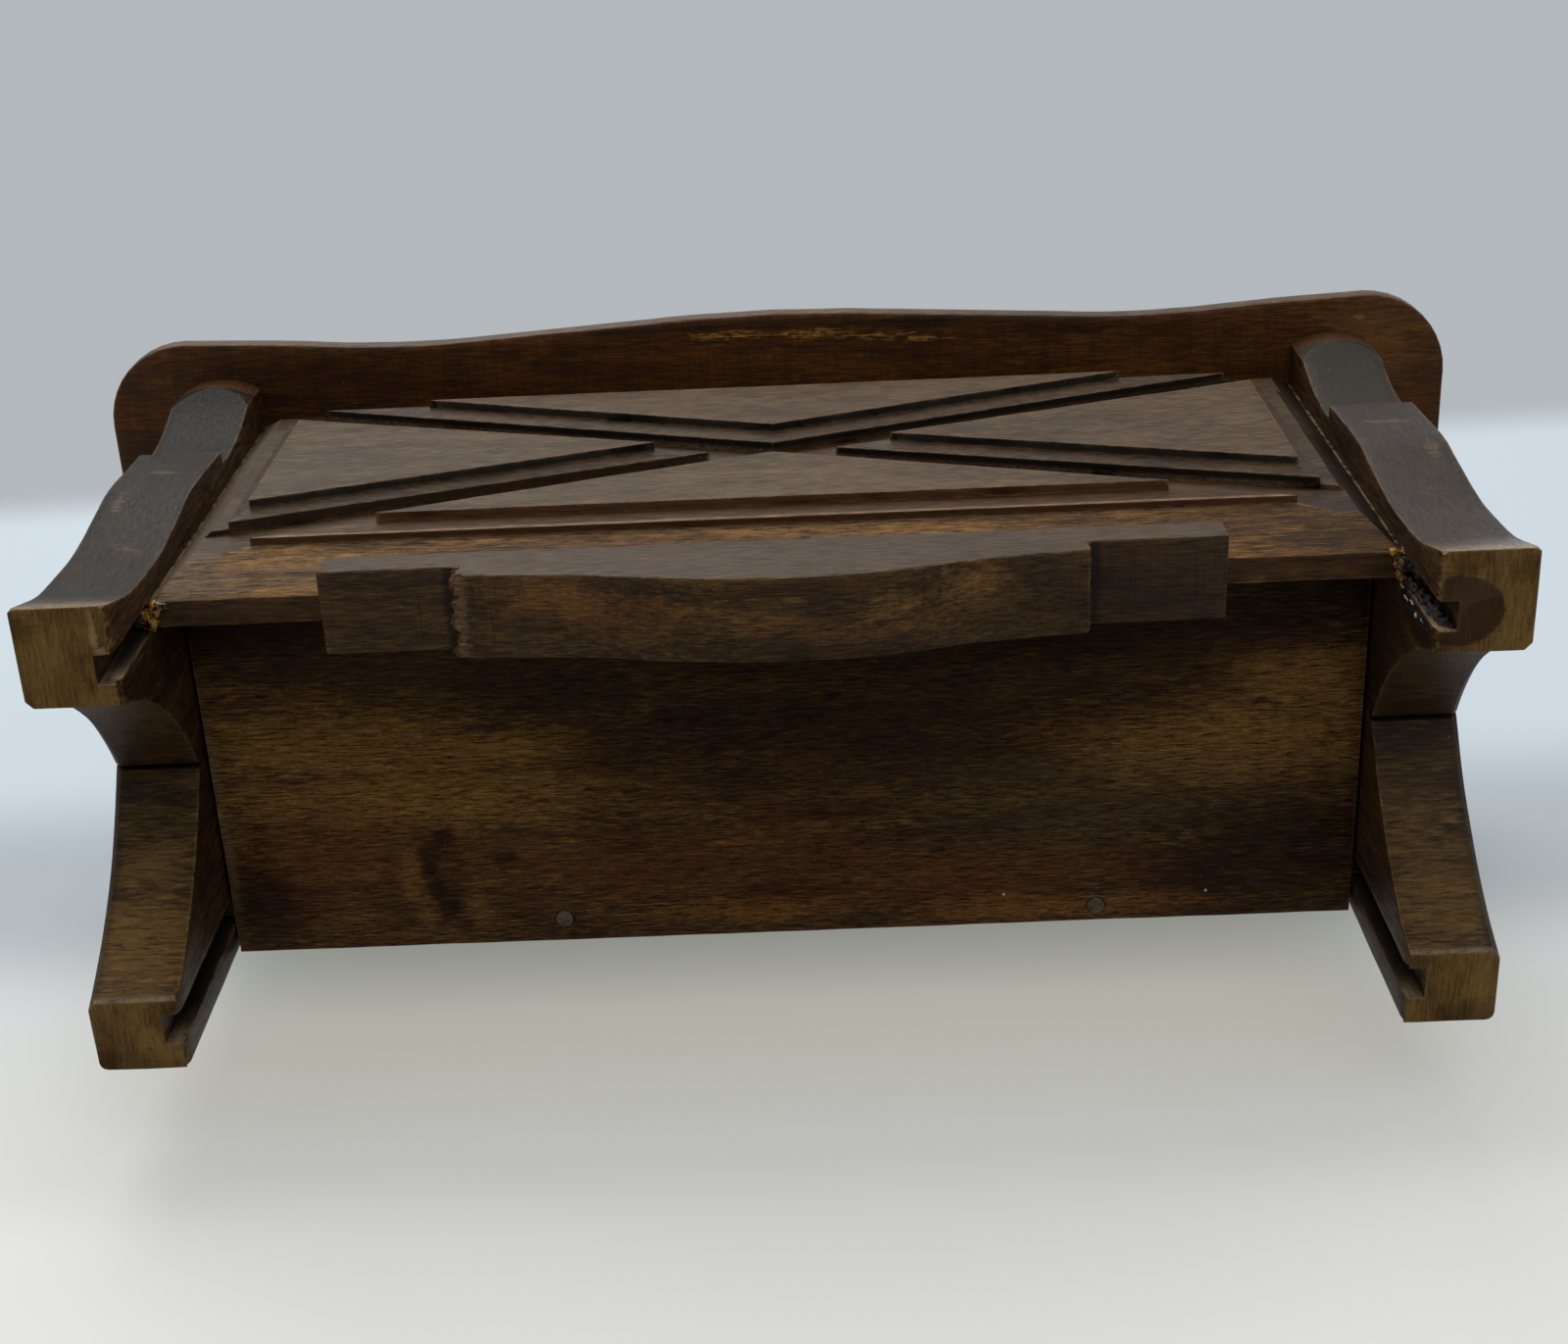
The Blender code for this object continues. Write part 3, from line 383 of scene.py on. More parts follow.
class Finish:
    """One material on object coordinates, laid down in layers from the bare wood up."""

    def __init__(self, name, grain_turn=ALONG_X, grain_move=(0, 0, 0)):
        self.material = bpy.data.materials.new(name)
        self.material.use_nodes = True
        self.tree = Tree(self.material.node_tree)
        self.shader = self.material.node_tree.nodes["Principled BSDF"]
        self.object = self.tree.node("ShaderNodeTexCoord").outputs["Object"]
        self.x, self.y, self.z = self.tree.split(self.object)
        self.grain_vector = self.tree.place(self.object, move=grain_move, turn=grain_turn)
        geometry = self.tree.node("ShaderNodeNewGeometry")
        self.normal = self.tree.split(geometry.outputs["True Normal"])
        self.color = self.shading = self.height = self.roughness = self.rough = None

    def wood(self, stain, body, glow, figure=1.6, warmth=0.5, dashes=1.0):
        made = self.tree.use(
            GROUPS[grain_group], vector=self.grain_vector, stain=stain, body=body, glow=glow,
            figure=figure, warmth=warmth, dashes=dashes,
        )
        self.color = made["Color"]
        self.shading = made["Shading"]
        self.height = made["Height"]
        self.roughness = made["Roughness"] + 0.5

    def over(self, mask, color, share=1.0, way="MIX"):
        mask = self.tree.math("MULTIPLY", mask, share, clamp=True)
        self.color = self.tree.blend(mask, self.color, color, way)

    def shade(self, mask, factor, share=1.0):
        """Darkens or warms by a colour factor where the mask is."""
        self.over(mask, factor, share, "MULTIPLY")

    def noise(self, *values):
        return self.tree.noise(self.object, *values)

    def spots(self, places, ragged=1.8):
        """Mask of all the places, each a centre and a reach in millimetres."""
        if self.rough is None:
            coarse = self.noise((75, 230, 230), 5.0, 0.72)
            self.rough = self.noise((230, 1500, 1500), 3.0, 0.6) * 0.9 + coarse - 0.95
        rough = self.rough * ragged
        mask = None
        for centre, reach in places:
            spot = self.tree.use(
                GROUPS[patch_group], vector=self.object, centre=[entry * MM for entry in centre],
                reach=[entry * MM for entry in reach], rough=rough,
            )["Mask"]
            mask = self.tree.math("MAXIMUM", mask, spot) if mask else spot
        return mask

    def facing(self, axis, sign, low=0.6, high=0.9):
        """Mask of the faces that look along one axis."""
        return self.tree.band(self.normal[axis] * float(sign), low, high)

    def wear_and_corner_shade(self, color, share=0.6, radius=0.9 * MM, breaks=0.5, corner=0.75):
        made = self.tree.use(GROUPS[edge_group], vector=self.object, radius=radius, breaks=breaks)
        # Painted shade: darkens the inner corners, besides the rubbed edges below
        self.shade(made["Corner"], (0.16, 0.13, 0.11), corner)
        self.over(made["Edge"], color, share)
        self.roughness = made["Edge"] * 0.12 + self.roughness

    def dust(self, amount=0.3):
        mask = self.tree.use(GROUPS[dust_group], vector=self.object, amount=amount)["Mask"]
        self.over(mask, (0.35, 0.33, 0.30))

    def done(self, strength=0.5, depth=0.25 * MM, shine=0.2, tint=(1.0, 0.94, 0.83)):
        tree = self.tree
        if self.shading is not None:
            self.color = tree.blend(1.0, self.color, self.shading, "MULTIPLY")
        bump = tree.node("ShaderNodeBump", {
            "Height": self.height, "Strength": strength, "Distance": depth,
        })
        for name, value in (
            ("Base Color", self.color), ("Roughness", self.roughness), ("Normal", bump.outputs[0]),
            ("Specular IOR Level", shine), ("Specular Tint", tint),
        ):
            tree.feed(self.shader.inputs[name], value)
        return self.material


# Meshes of the wooden pieces

def cad_shape(node):
    """The node's solid as a clean closed mesh of flat faces."""
    shape = bmesh.new()
    shape.from_mesh(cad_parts[node].data)
    bmesh.ops.remove_doubles(shape, verts=shape.verts, dist=0.002 * MM)
    bmesh.ops.dissolve_limit(
        shape, angle_limit=math.radians(1.0), verts=shape.verts, edges=shape.edges,
    )
    return shape


def ease_edges(shape, width, segments=2, least_angle=25.0):
    edges = [
        edge for edge in shape.edges
        if len(edge.link_faces) == 2 and edge.calc_face_angle(0.0) > math.radians(least_angle)
    ]
    bmesh.ops.bevel(
        shape, geom=edges, offset=width, segments=segments, profile=0.5, affect="EDGES",
        clamp_overlap=True, loop_slide=True,
    )


def cut_planes(shape, axis, places):
    """Cuts the mesh along planes across one axis."""
    across = Vector([1.0 if entry == axis else 0.0 for entry in range(3)])
    for place in places:
        everything = list(shape.verts) + list(shape.edges) + list(shape.faces)
        bmesh.ops.bisect_plane(
            shape, geom=everything, plane_co=across * place, plane_no=across, dist=0.01 * MM,
        )


def cut_steps(shape, axis, low, high, spacing):
    """Cuts the mesh at even steps between two places."""
    count = int((high - low) / spacing) + 1
    cut_planes(shape, axis, [low + step * spacing for step in range(count)])


def cut_grid(shape, spacing):
    """Cuts the mesh all over across X, Y and Z, so that its faces can bend."""
    for axis in range(3):
        values = [vert.co[axis] for vert in shape.verts]
        low = min(values)
        high = max(values)
        count = int((high - low) / spacing)
        cut_planes(shape, axis, [low + (high - low) * step / count for step in range(1, count)])


def weather(shape, waviness, scale=90.0, seed=0.0):
    """Moves every point a little along its normal, as planing and handling leave wood."""
    shape.normal_update()
    for vert in shape.verts:
        place = vert.co * scale + Vector((seed, seed * 2, seed * 3))
        vert.co += vert.normal * (noise.noise(place) * waviness)


def finish_piece(shape, name, node, body, material, smooth_angle=28.0):
    bmesh.ops.triangulate(shape, faces=[face for face in shape.faces if len(face.verts) > 4])
    mesh = bpy.data.meshes.new(name)
    shape.to_mesh(mesh)
    shape.free()
    mesh.materials.append(material)
    mesh.shade_smooth()
    mesh.set_sharp_from_angle(angle=math.radians(smooth_angle))
    piece = new_object(name, mesh)
    if node:
        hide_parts(node)
    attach(piece, body)
    return piece


def new_object(name, data):
    item = bpy.data.objects.new(name, data)
    bpy.context.scene.collection.objects.link(item)
    return item


def grid_spacing(settings):
    return settings.grid * 1


def wooden_piece(settings, name, node, body, material, seed, reshape=None):
    """The node's solid with eased edges and slightly uneven faces."""
    shape = cad_shape(node)
    ease_edges(shape, settings.edge_round)
    cut_grid(shape, grid_spacing(settings))
    weather(shape, settings.waviness, seed=seed)
    if reshape:
        reshape(shape)
    finish_piece(shape, name, node, body, material)


# Operators

class PieceOperator:
    bl_options = {"REGISTER", "UNDO"}


class BOX_OT_stage(PieceOperator, bpy.types.Operator):
    """Set up the pale floor, the backdrop, the soft lamps and the camera"""
    bl_idname = "jewelry_box.stage"
    bl_label = "Stage"

    def execute(self, context):
        settings = context.scene.box_stage
        add_world(settings)
        add_floor(settings)
        add_backdrop(settings)
        add_lamps(settings)
        add_camera()
        context.scene.view_settings.view_transform = "Standard"
        return {"FINISHED"}


def add_world(settings):
    """Even surrounding light, weaker from below; the camera sees the plain wall colour."""
    world = bpy.data.worlds.new("studio")
    bpy.context.scene.world = world
    world.use_nodes = True
    tree = Tree(world.node_tree)
    background = world.node_tree.nodes["Background"]
    way = tree.split(tree.node("ShaderNodeTexCoord").outputs["Generated"])
    strength = tree.band(way[2] * 0.7 - way[1] * 0.7, -0.9, 0.7) * 0.85 + 0.15
    strength = strength * settings.sky
    seen = tree.values(tree.node("ShaderNodeLightPath"))["Is Camera Ray"]
    tree.feed(background.inputs["Color"], tree.blend(seen, (0.95, 0.97, 1.0), settings.wall))
    tree.feed(background.inputs["Strength"], seen * (1.0 - strength) + strength)


def stage_plane(name, corners, material):
    mesh = bpy.data.meshes.new(name)
    mesh.from_pydata(corners, [], [(0, 1, 2, 3)])
    mesh.materials.append(material)
    new_object(name, mesh)


def stage_material(name, color, plain, dress=None):
    """Pale surface that only the camera and reflections see, and only from its front.

    A plain share keeps its own colour and the rest takes the light and the soft shadows.
    """
    material = bpy.data.materials.new(name)
    material.use_nodes = True
    tree = Tree(material.node_tree)
    shader = material.node_tree.nodes["Principled BSDF"]
    shader.inputs["Roughness"].default_value = 0.9
    shader.inputs["Specular IOR Level"].default_value = 0.0
    paths = tree.node("ShaderNodeLightPath").outputs
    seen = tree.math("MAXIMUM", paths["Is Camera Ray"], paths["Is Glossy Ray"])
    seen = tree.math("MAXIMUM", seen, paths["Is Transmission Ray"])
    share = seen * (1.0 - tree.values(tree.node("ShaderNodeNewGeometry"))["Backfacing"])
    if dress:
        color, fade = dress(tree)
        share = share * fade
    tree.feed(shader.inputs["Base Color"], color)
    glow = tree.node("ShaderNodeEmission", {"Color": color})
    body = tree.node("ShaderNodeMixShader", (plain, shader.outputs[0], glow.outputs[0]))
    clear = tree.node("ShaderNodeBsdfTransparent")
    mixed = tree.node("ShaderNodeMixShader", (share, clear.outputs[0], body.outputs[0]))
    tree.feed(material.node_tree.nodes["Material Output"].inputs["Surface"], mixed.outputs[0])
    return material


def add_floor(settings):
    """Floor under the feet, clear when seen from below."""
    reach = 3.0
    corners = [(x * reach, y * reach, 0.0) for x, y in ((-1, -1), (1, -1), (1, 1), (-1, 1))]
    stage_plane("floor", corners, stage_material("floor", settings.floor, 0.35))


def add_backdrop(settings):
    """Upright sheet behind the box, which fades into the wall above the lid and at its ends; a
    painted shadow band, a painted warm shadow under the box and painted light on its lowest part
    are in its colour.
    """
    y = CAD_BOX[1].y + settings.back_gap
    reach = 2.5
    low = -1.5
    top = 0.52

    def dress(tree):
        x, _, z = tree.split(tree.node("ShaderNodeTexCoord").outputs["Object"])
        away = tree.math("ABSOLUTE", x)
        color = tree.blend(tree.band(z, -0.02, 0.22), settings.floor, (0.64, 0.72, 0.78))
        # Painted light: paler on the lowest part of the sheet
        color = tree.blend(tree.band(z, 0.0, -0.03), color, (0.90, 0.90, 0.87))
        # Painted shadow: a darker band across the sheet
        painted_shadow_band = tree.band(z, 0.20, 0.14) * tree.band(z, 0.06, 0.11)
        color = tree.blend(painted_shadow_band, color, (0.70, 0.71, 0.73), "MULTIPLY")
        shaded = tree.band(away, 0.19, 0.12) * tree.band(z, -0.01, 0.05) * tree.band(z, 0.20, 0.12)
        color = tree.blend(shaded, color, (1.0, 0.98, 0.88), "MULTIPLY")
        return color, tree.band(x * -0.06 + z, 0.475, 0.425) * tree.band(away, 2.2, 1.0)

    corners = [(-reach, y, low), (reach, y, low), (reach, y, top), (-reach, y, top)]
    stage_plane("backdrop", corners, stage_material("backdrop", settings.floor, 0.42, dress))


def add_lamps(settings):
    """Large round lamps that point at the middle of the box."""
    middle = Vector((0.0, 0.0, 0.07))
    for name, place, size, power, color in (
        ("key", (-0.25, -1.05, 0.75), 1.1, 1.0, (1.0, 0.985, 0.96)),
        ("top", (0.5, 0.35, 1.3), 0.9, 0.35, (0.96, 0.98, 1.0)),
        ("low", (0.2, -0.9, -0.75), 1.0, 0.30, (1.0, 0.99, 0.97)),
    ):
        lamp = bpy.data.lights.new(name, "AREA")
        lamp.shape = "DISK"
        lamp.size = size
        lamp.energy = settings.key_power * power
        lamp.color = color
        item = new_object(name, lamp)
        item.location = place
        item.rotation_mode = "QUATERNION"
        item.rotation_quaternion = (middle - Vector(place)).to_track_quat("-Z", "Y")


def add_camera():
    """Camera below and in front of the box, as in the photograph."""
    camera = bpy.data.cameras.new("camera")
    camera.sensor_width = SENSOR
    camera.lens = SENSOR * CAMERA_FOCUS_PIXELS / IMAGE_WIDTH
    camera.clip_start = 0.01
    right = Vector((0.99903, 0.04411, 0.00068))
    back = Vector((0.01902, -0.41669, -0.90885))
    up = back.cross(right).normalized()
    right = up.cross(back).normalized()
    turn = Matrix((right, up, back.normalized())).transposed()
    place = Vector((10.43, -214.85, -403.43)) * MM
    item = new_object("camera", camera)
    item.matrix_world = Matrix.Translation(place) @ turn.to_4x4()
    bpy.context.scene.camera = item


class BOX_OT_sides(PieceOperator, bpy.types.Operator):
    """Make both sawn side boards with their worn feet"""
    bl_idname = "jewelry_box.sides"
    bl_label = "Side boards"

    def execute(self, context):
        settings = context.scene.box_wood
        for side, sign in (("left", -1), ("right", 1)):
            name = "side_board_" + side
            wooden_piece(
                settings, name, "side_" + side, CASE,
                side_finish(settings, name, sign), seed=sign, reshape=chip_feet,
            )
        return {"FINISHED"}


def chip_feet(shape):
    """Breaks the inner edges of the feet's ends, most of all round the open ends of the grooves."""
    reach = 3.2 * MM
    inside = min(abs(vert.co.x) for vert in shape.verts)
    cut_steps(shape, 2, 0.5 * MM, reach, 0.6 * MM)
    front = min(vert.co.y for vert in shape.verts)
    cut_steps(shape, 1, front + 2 * MM, front + 26 * MM, 0.8 * MM)
    for vert in shape.verts:
        low = 1.0 - vert.co.z / reach
        near = 1.0 - (abs(vert.co.x) - inside) / (2.0 * MM)
        if low > 0.0 and near > 0.0:
            chip = abs(noise.noise(vert.co * 330.0)) + 0.6 * abs(noise.noise(vert.co * 1100.0))
            vert.co.x += math.copysign(chip * low * near * 1.7 * MM, vert.co.x)
            vert.co.z += chip * low * near * 0.8 * MM


def side_finish(settings, name, sign):
    """Front with a painted grey sheen and worn places, a painted reflection of the lid at its top,
    painted shade on the inner faces, dark sawn arch and pale end grain on the feet.
    """
    left = sign < 0
    finish = Finish(name, ALONG_Z, (0.0, 0.3 * sign, 0.1))
    tree = finish.tree
    band = tree.band
    front = finish.facing(1, -1, 0.45, 0.85)
    calm = front * -0.55 + 0.8
    finish.wood(linear(44, 32, 22), linear(80, 59, 39), linear(110, 80, 44), 1.5, 0.4, calm)
    # Painted sheen: grey on the forward faces, darker on the left side than on the right
    finish.over(front, linear(35, 34, 30) if left else linear(59, 55, 50), 0.92)
    # Painted sheen: flat grey on the upper forward faces between the step and the crown, with the
    # grain calmed there
    upper = band(finish.z, SIDE_STEP - 0.5 * MM, SIDE_STEP + 0.5 * MM)
    upper = upper * band(finish.z, SIDE_CROWN + 1.5 * MM, SIDE_CROWN)
    upper = upper * band(tree.math("ABSOLUTE", finish.normal[0]), 0.6, 0.3)
    upper = upper * band(finish.normal[1], -0.05, -0.25)
    finish.over(upper, linear(25, 26, 26) if left else linear(48, 45, 40), 0.94)
    finish.shading = tree.blend(upper * 0.8, finish.shading, (1.0, 1.0, 1.0))
    # Painted reflection: brown of the lid's underside on the forward faces above the crown
    finish.over(front * band(finish.z, SIDE_CROWN, SIDE_CROWN + 1.5 * MM), linear(84, 58, 38), 0.75)
    scratched = tree.place(finish.object, (2400, 420, 420), turn=(0.0, 0.9, 0.35))
    scratch = band(tree.noise(scratched, 1.0, 2.0, 0.5), 0.70, 0.77)
    finish.over(scratch * tree.math("MAXIMUM", front, upper), linear(128, 122, 108), 0.4)
    scuffs = [
        ((sign * 141, -50, 84), (4, 6, 1.2)), ((sign * 146, -50, 66), (1.4, 6, 4)),
        ((sign * 136, -50, 101), (3, 6, 2)), ((sign * 139, -54, 45), (5, 8, 3)),
    ]
    finish.over(finish.spots(scuffs, 3.2) * front, linear(108, 94, 72), 0.45)
    finish.over(front * band(finish.z, 18 * MM, 4 * MM), linear(96, 86, 70), 0.45)
    toe = front * band(finish.z, 10 * MM, 2 * MM)
    toe_wear = band(finish.noise((260, 500, 500), 4.0, 0.7), 0.30, 0.52)
    finish.over(toe * toe_wear, linear(134, 120, 94), 0.8)
    above_end = band(finish.z, 0.5 * MM, 6 * MM)
    # Painted shade on the inner faces above the feet's ends
    finish.shade(finish.facing(0, -sign) * above_end, (0.60, 0.56, 0.54), 0.8)
    arch = finish.facing(2, -1, 0.1, 0.4) * band(finish.z, 0.5 * MM, 2 * MM)
    arch = arch * band(finish.y, -36 * MM, -32 * MM)
    across = tree.use(
        GROUPS[grain_group], vector=tree.place(finish.object, move=(0.2 * sign, 0.0, 0.3)),
        stain=linear(44, 32, 18), body=linear(72, 54, 29), glow=linear(94, 72, 38), figure=1.5,
        warmth=0.55, dashes=0.7,
    )
    finish.over(arch, across["Color"], 0.9)
    finish.shading = tree.blend(arch, finish.shading, across["Shading"])
    low_taper = [((sign * 141, 34, 12), (15, 12, 14)), ((sign * 139, 22, 24), (13, 6, 9))]
    finish.over(finish.spots(low_taper) * arch, linear(116, 91, 52), 0.5)
    finish.shade(finish.spots([((sign * 141, 8, 34), (16, 9, 12))]), (0.42, 0.40, 0.38), 0.7)
    outer = band(finish.x * float(sign), 146.5 * MM, 149.5 * MM)
    finish.shade(outer * arch, (0.30, 0.30, 0.32), 0.85)
    if not left:
        bright = finish.spots([((138.4, 45.1, 9), (2.6, 1.6, 9))], 1.0)
        finish.over(bright * arch, linear(205, 150, 72), 0.8)
    end = finish.facing(2, -1, 0.75, 0.92) * band(finish.z, 2 * MM, 0.5 * MM)
    fibres = finish.noise((1900, 170, 170), 5.0, 0.72, 0.4)
    lit = band(fibres * 0.55 + finish.noise((120, 60, 60), 4.0, 0.65) * 0.45, 0.36, 0.64)
    finish.over(end, tree.blend(lit, linear(84, 61, 34), linear(142, 112, 64)), 0.95)
    finish.shading = tree.blend(end * 0.75, finish.shading, (1.0, 1.0, 1.0))
    rim = [
        ((sign * 153, -46, 0), (9, 4, 3)), ((sign * 129, 40, 0), (6, 8, 3)),
        ((sign * 145, 57, 0), (10, 4, 3)),
    ]
    finish.shade(finish.spots(rim, 1.2) * end, (0.45, 0.42, 0.40), 0.7)
    if left:
        chip = [((-133.9, -44.2, 0), (0.9, 4.2, 3)), ((-133.0, -40.2, 0), (1.4, 0.8, 3))]
        finish.over(finish.spots(chip, 1.6) * end, linear(180, 156, 116), 0.5)
    else:
        chip = finish.spots([((134.6, -45.5, 0), (3.0, 5.0, 3))], 2.0)
        finish.shade(chip * end, (0.55, 0.50, 0.46), 0.8)
        blob = band(finish.spots([((134.6, -37.0, 0), (10.8, 8.8, 9))], 0.15), 0.42, 0.58)
        finish.over(blob * end, linear(52, 35, 26), 0.84)
        # Dark goo stain with painted shade, on the right side beside its groove and down to the
        # foot's end
        stained = finish.spots([((131.4, -28.4, 11), (3.4, 4.6, 13))], 1.0)
        finish.shade(stained, (0.13, 0.12, 0.12), 0.85)
    finish.wear_and_corner_shade(settings.worn, 0.45)
    finish.dust(0.3)
    return finish.done(0.32, shine=0.13 if left else 0.18)


class BOX_OT_front_panel(PieceOperator, bpy.types.Operator):
    """Make the carved front panel"""
    bl_idname = "jewelry_box.front_panel"
    bl_label = "Front panel"

    def execute(self, context):
        settings = context.scene.box_wood
        wooden_piece(
            settings, "carved_panel", "front_panel", CASE,
            panel_finish(settings), seed=3.0,
        )
        return {"FINISHED"}


def panel_finish(settings):
    """Worn fields, dark carved walls and a golden lower bevel, with painted shade on the ledges and
    the +X-facing bevels, painted light on the -X-facing ones and painted highlights along edges.
    """
    finish = Finish("carved_panel", ALONG_X, (0.05, 0.0, 0.2))
    tree = finish.tree
    band = tree.band
    under = finish.facing(2, -1, 0.2, 0.4)
    lively = under * band(finish.y, PANEL_LOW.y + 4 * MM, FIELD_Y) * 0.50 + 0.50
    finish.wood(linear(64, 51, 37), linear(86, 70, 51), linear(102, 83, 58), 0.8, 0.3, lively)
    flat = band(tree.math("ABSOLUTE", finish.normal[1]), 0.45, 0.75)
    sunk = band(finish.y, FIELD_Y - 0.4 * MM, FIELD_Y + 0.6 * MM)
    raised = 1.0 - sunk
    finish.shade(sunk, (0.62, 0.55, 0.48), 0.8)
    golden = band(finish.noise((26, 400, 400), 5.0, 0.7, 0.3), 0.36, 0.64)
    golden = tree.blend(golden, linear(78, 53, 25), linear(132, 96, 48))
    finish.over(under * sunk, golden, 0.75)
    finish.shade(finish.spots([((123, -42, 34), (17, 14, 13))]), (0.30, 0.30, 0.33), 0.8)
    finish.over(finish.spots([((-126, -42, 34), (11, 14, 12))]), linear(82, 70, 56), 0.6)
    # Painted light on the sunk faces that look towards -X, painted shade on those that look towards
    # +X
    finish.over(finish.facing(0, -1, 0.12, 0.3) * sunk, linear(106, 96, 80), 0.8)
    finish.shade(finish.facing(0, 1, 0.12, 0.3) * sunk, (0.20, 0.18, 0.17), 0.8)
    finish.over(finish.facing(2, -1, 0.9, 0.97) * sunk, linear(54, 38, 26), 0.8)
    walls = (1.0 - flat) * raised
    finish.over(walls, linear(4, 3, 2), 0.97)
    left_outer = finish.facing(0, 1, 0.08, 0.16) * band(finish.x, 0.0, -2 * MM)
    left_outer = left_outer * band(finish.y, PANEL_LOW.y + 1.9 * MM, PANEL_LOW.y + 2.3 * MM)
    finish.over(walls * left_outer, linear(56, 40, 28), 0.8)
    finish.over(walls * finish.facing(2, -1, 0.97, 0.995), linear(78, 49, 28), 0.85)
    ledge = flat * band(finish.y, PANEL_LOW.y + 0.8 * MM, PANEL_LOW.y + 1.4 * MM) * raised
    # Painted shade on the ledges
    finish.shade(ledge, (0.55, 0.52, 0.50), 0.75)
    low_ledge = ledge * band(finish.z, CREST_FOOT + 5 * MM, CREST_FOOT + 4 * MM)
    # Painted shade: the lowest ledge turned dark brown
    finish.over(low_ledge, linear(74, 48, 27), 0.75)
    rim = low_ledge * band(finish.z, CREST_FOOT + 1.0 * MM, CREST_FOOT + 0.5 * MM)
    # Pale rim at the low ledge's outer edge: wear with a painted highlight
    finish.over(rim, linear(152, 134, 106), 0.5)
    # Painted highlight: a broken pale line along the panel's side edges
    outer_rim = band(tree.math("ABSOLUTE", finish.x), 129.9 * MM, 130.3 * MM)
    broken = band(finish.noise(340.0, 3.0, 0.6), 0.42, 0.54)
    finish.over(outer_rim * broken, linear(160, 144, 118), 0.5)
    finish.wear_and_corner_shade(settings.worn, 0.4, 0.7 * MM, 0.52, 0.85)
    finish.dust(0.25)
    return finish.done(0.4)


class BOX_OT_apron(PieceOperator, bpy.types.Operator):
    """Make the bowed apron under the front panel"""
    bl_idname = "jewelry_box.apron"
    bl_label = "Apron"

    def execute(self, context):
        settings = context.scene.box_wood
        wooden_piece(
            settings, "bowed_apron", "apron", CASE,
            apron_finish(settings), seed=5.0, reshape=chip_steps,
        )
        return {"FINISHED"}


def chip_steps(shape):
    """Tears the sawn steps where the apron's low middle part begins, the left one most."""
    reach = 2.4
    left, right = -APRON_STEP / MM, APRON_STEP / MM
    for step in (left, right):
        cut_steps(shape, 0, (step - reach) * MM, (step + reach) * MM, 0.6 * MM)
    cut_steps(shape, 1, APRON_LOW.y, APRON_HIGH.y, 0.7 * MM)
    cut_steps(shape, 2, RAIL_UNDER, BLOCK_UNDER, 0.6 * MM)
    for vert in shape.verts:
        for step, depth in ((left, 3.0), (right, 0.5)):
            near = 1.0 - abs(vert.co.x / MM - step) / reach
            if near > 0.0 and vert.co.z < BLOCK_UNDER - 0.5 * MM:
                torn = noise.noise(vert.co * 420.0) + 0.5 * noise.noise(vert.co * 1300.0)
                vert.co.x += torn * near * depth * MM
                vert.co.z += abs(torn) * near * depth * 0.5 * MM


def apron_finish(settings):
    """Saw marks and worn golden places on the underside, painted shadow beside the torn steps, and
    a front greyed by a painted sheen.
    """
    finish = Finish("bowed_apron", ALONG_X, (0.0, 0.1, 0.0))
    band = finish.tree.band
    front = finish.facing(1, -1, 0.6, 0.9)
    calm = front * -0.3 + 0.75
    finish.wood(linear(55, 42, 29), linear(82, 64, 43), linear(108, 82, 48), 1.1, 0.35, calm)
    under = finish.facing(2, -1, 0.3, 0.7)
    golden = [
        ((-6, -40, 14), (20, 7, 8)), ((22, -39, 14), (10, 5, 8)), ((40, -43, 14), (9, 4, 8)),
        ((-44, -42, 14), (10, 5, 8)),
    ]
    finish.over(finish.spots(golden) * under, linear(146, 110, 60), 0.5)
    dark = [((-84, -38, 14), (22, 16, 9)), ((56, -36, 14), (12, 12, 9))]
    finish.shade(finish.spots(dark), (0.55, 0.54, 0.54), 0.8)
    rust = [((-30, -40, 14), (26, 6, 8)), ((8, -36, 14), (30, 3, 8))]
    finish.over(finish.spots(rust) * under, linear(110, 68, 40), 0.35)
    marks = finish.noise((2100, 60, 60), 4.0, 0.7)
    near_steps = [
        ((-60, -38, 14), (9, 14, 9)), ((70, -38, 14), (13, 14, 9)), ((92, -38, 14), (5, 14, 9)),
    ]
    sawn = under * (finish.spots(near_steps, 1.0) * 0.7 + 0.3)
    finish.shade(sawn * band(marks, 0.46, 0.60), (0.50, 0.46, 0.44), 0.8)
    scores = [((-72.6, -38, 14), (0.35, 9, 9)), ((86.6, -38, 14), (0.4, 9, 9))]
    finish.shade(finish.spots(scores, 0.15) * under, (0.25, 0.22, 0.20), 0.8)
    block = BLOCK_UNDER / MM
    rail = RAIL_UNDER / MM
    block_end = finish.spots([((80, -38, block), (17, 22, 4))], 1.0)
    finish.shade(block_end * under, (0.56, 0.50, 0.52), 0.85)
    # Painted shadow on the blocks' underside beside the torn steps
    torn = [((-66.0, -38, block), (1.7, 16, 4)), ((66.0, -38, block), (1.2, 16, 4))]
    finish.shade(finish.spots(torn, 1.2) * under, (0.14, 0.11, 0.09), 0.9)
    frayed = finish.spots([((-63.6, -38, rail), (1.6, 10, 4))], 2.6)
    finish.over(frayed * under, linear(120, 100, 78), 0.6)
    # Painted grey sheen on the forward faces
    finish.over(front, linear(76, 67, 56), 0.6)
    finish.height = marks * sawn * 0.8 + finish.height
    finish.wear_and_corner_shade(settings.worn, 0.45)
    finish.dust(0.25)
    return finish.done(0.6)


class BOX_OT_bottom_board(PieceOperator, bpy.types.Operator):
    """Make the dark bottom board"""
    bl_idname = "jewelry_box.bottom_board"
    bl_label = "Bottom board"

    def execute(self, context):
        settings = context.scene.box_wood
        wooden_piece(
            settings, "dark_bottom", "bottom_board", CASE,
            bottom_finish(settings), seed=7.0,
        )
        return {"FINISHED"}


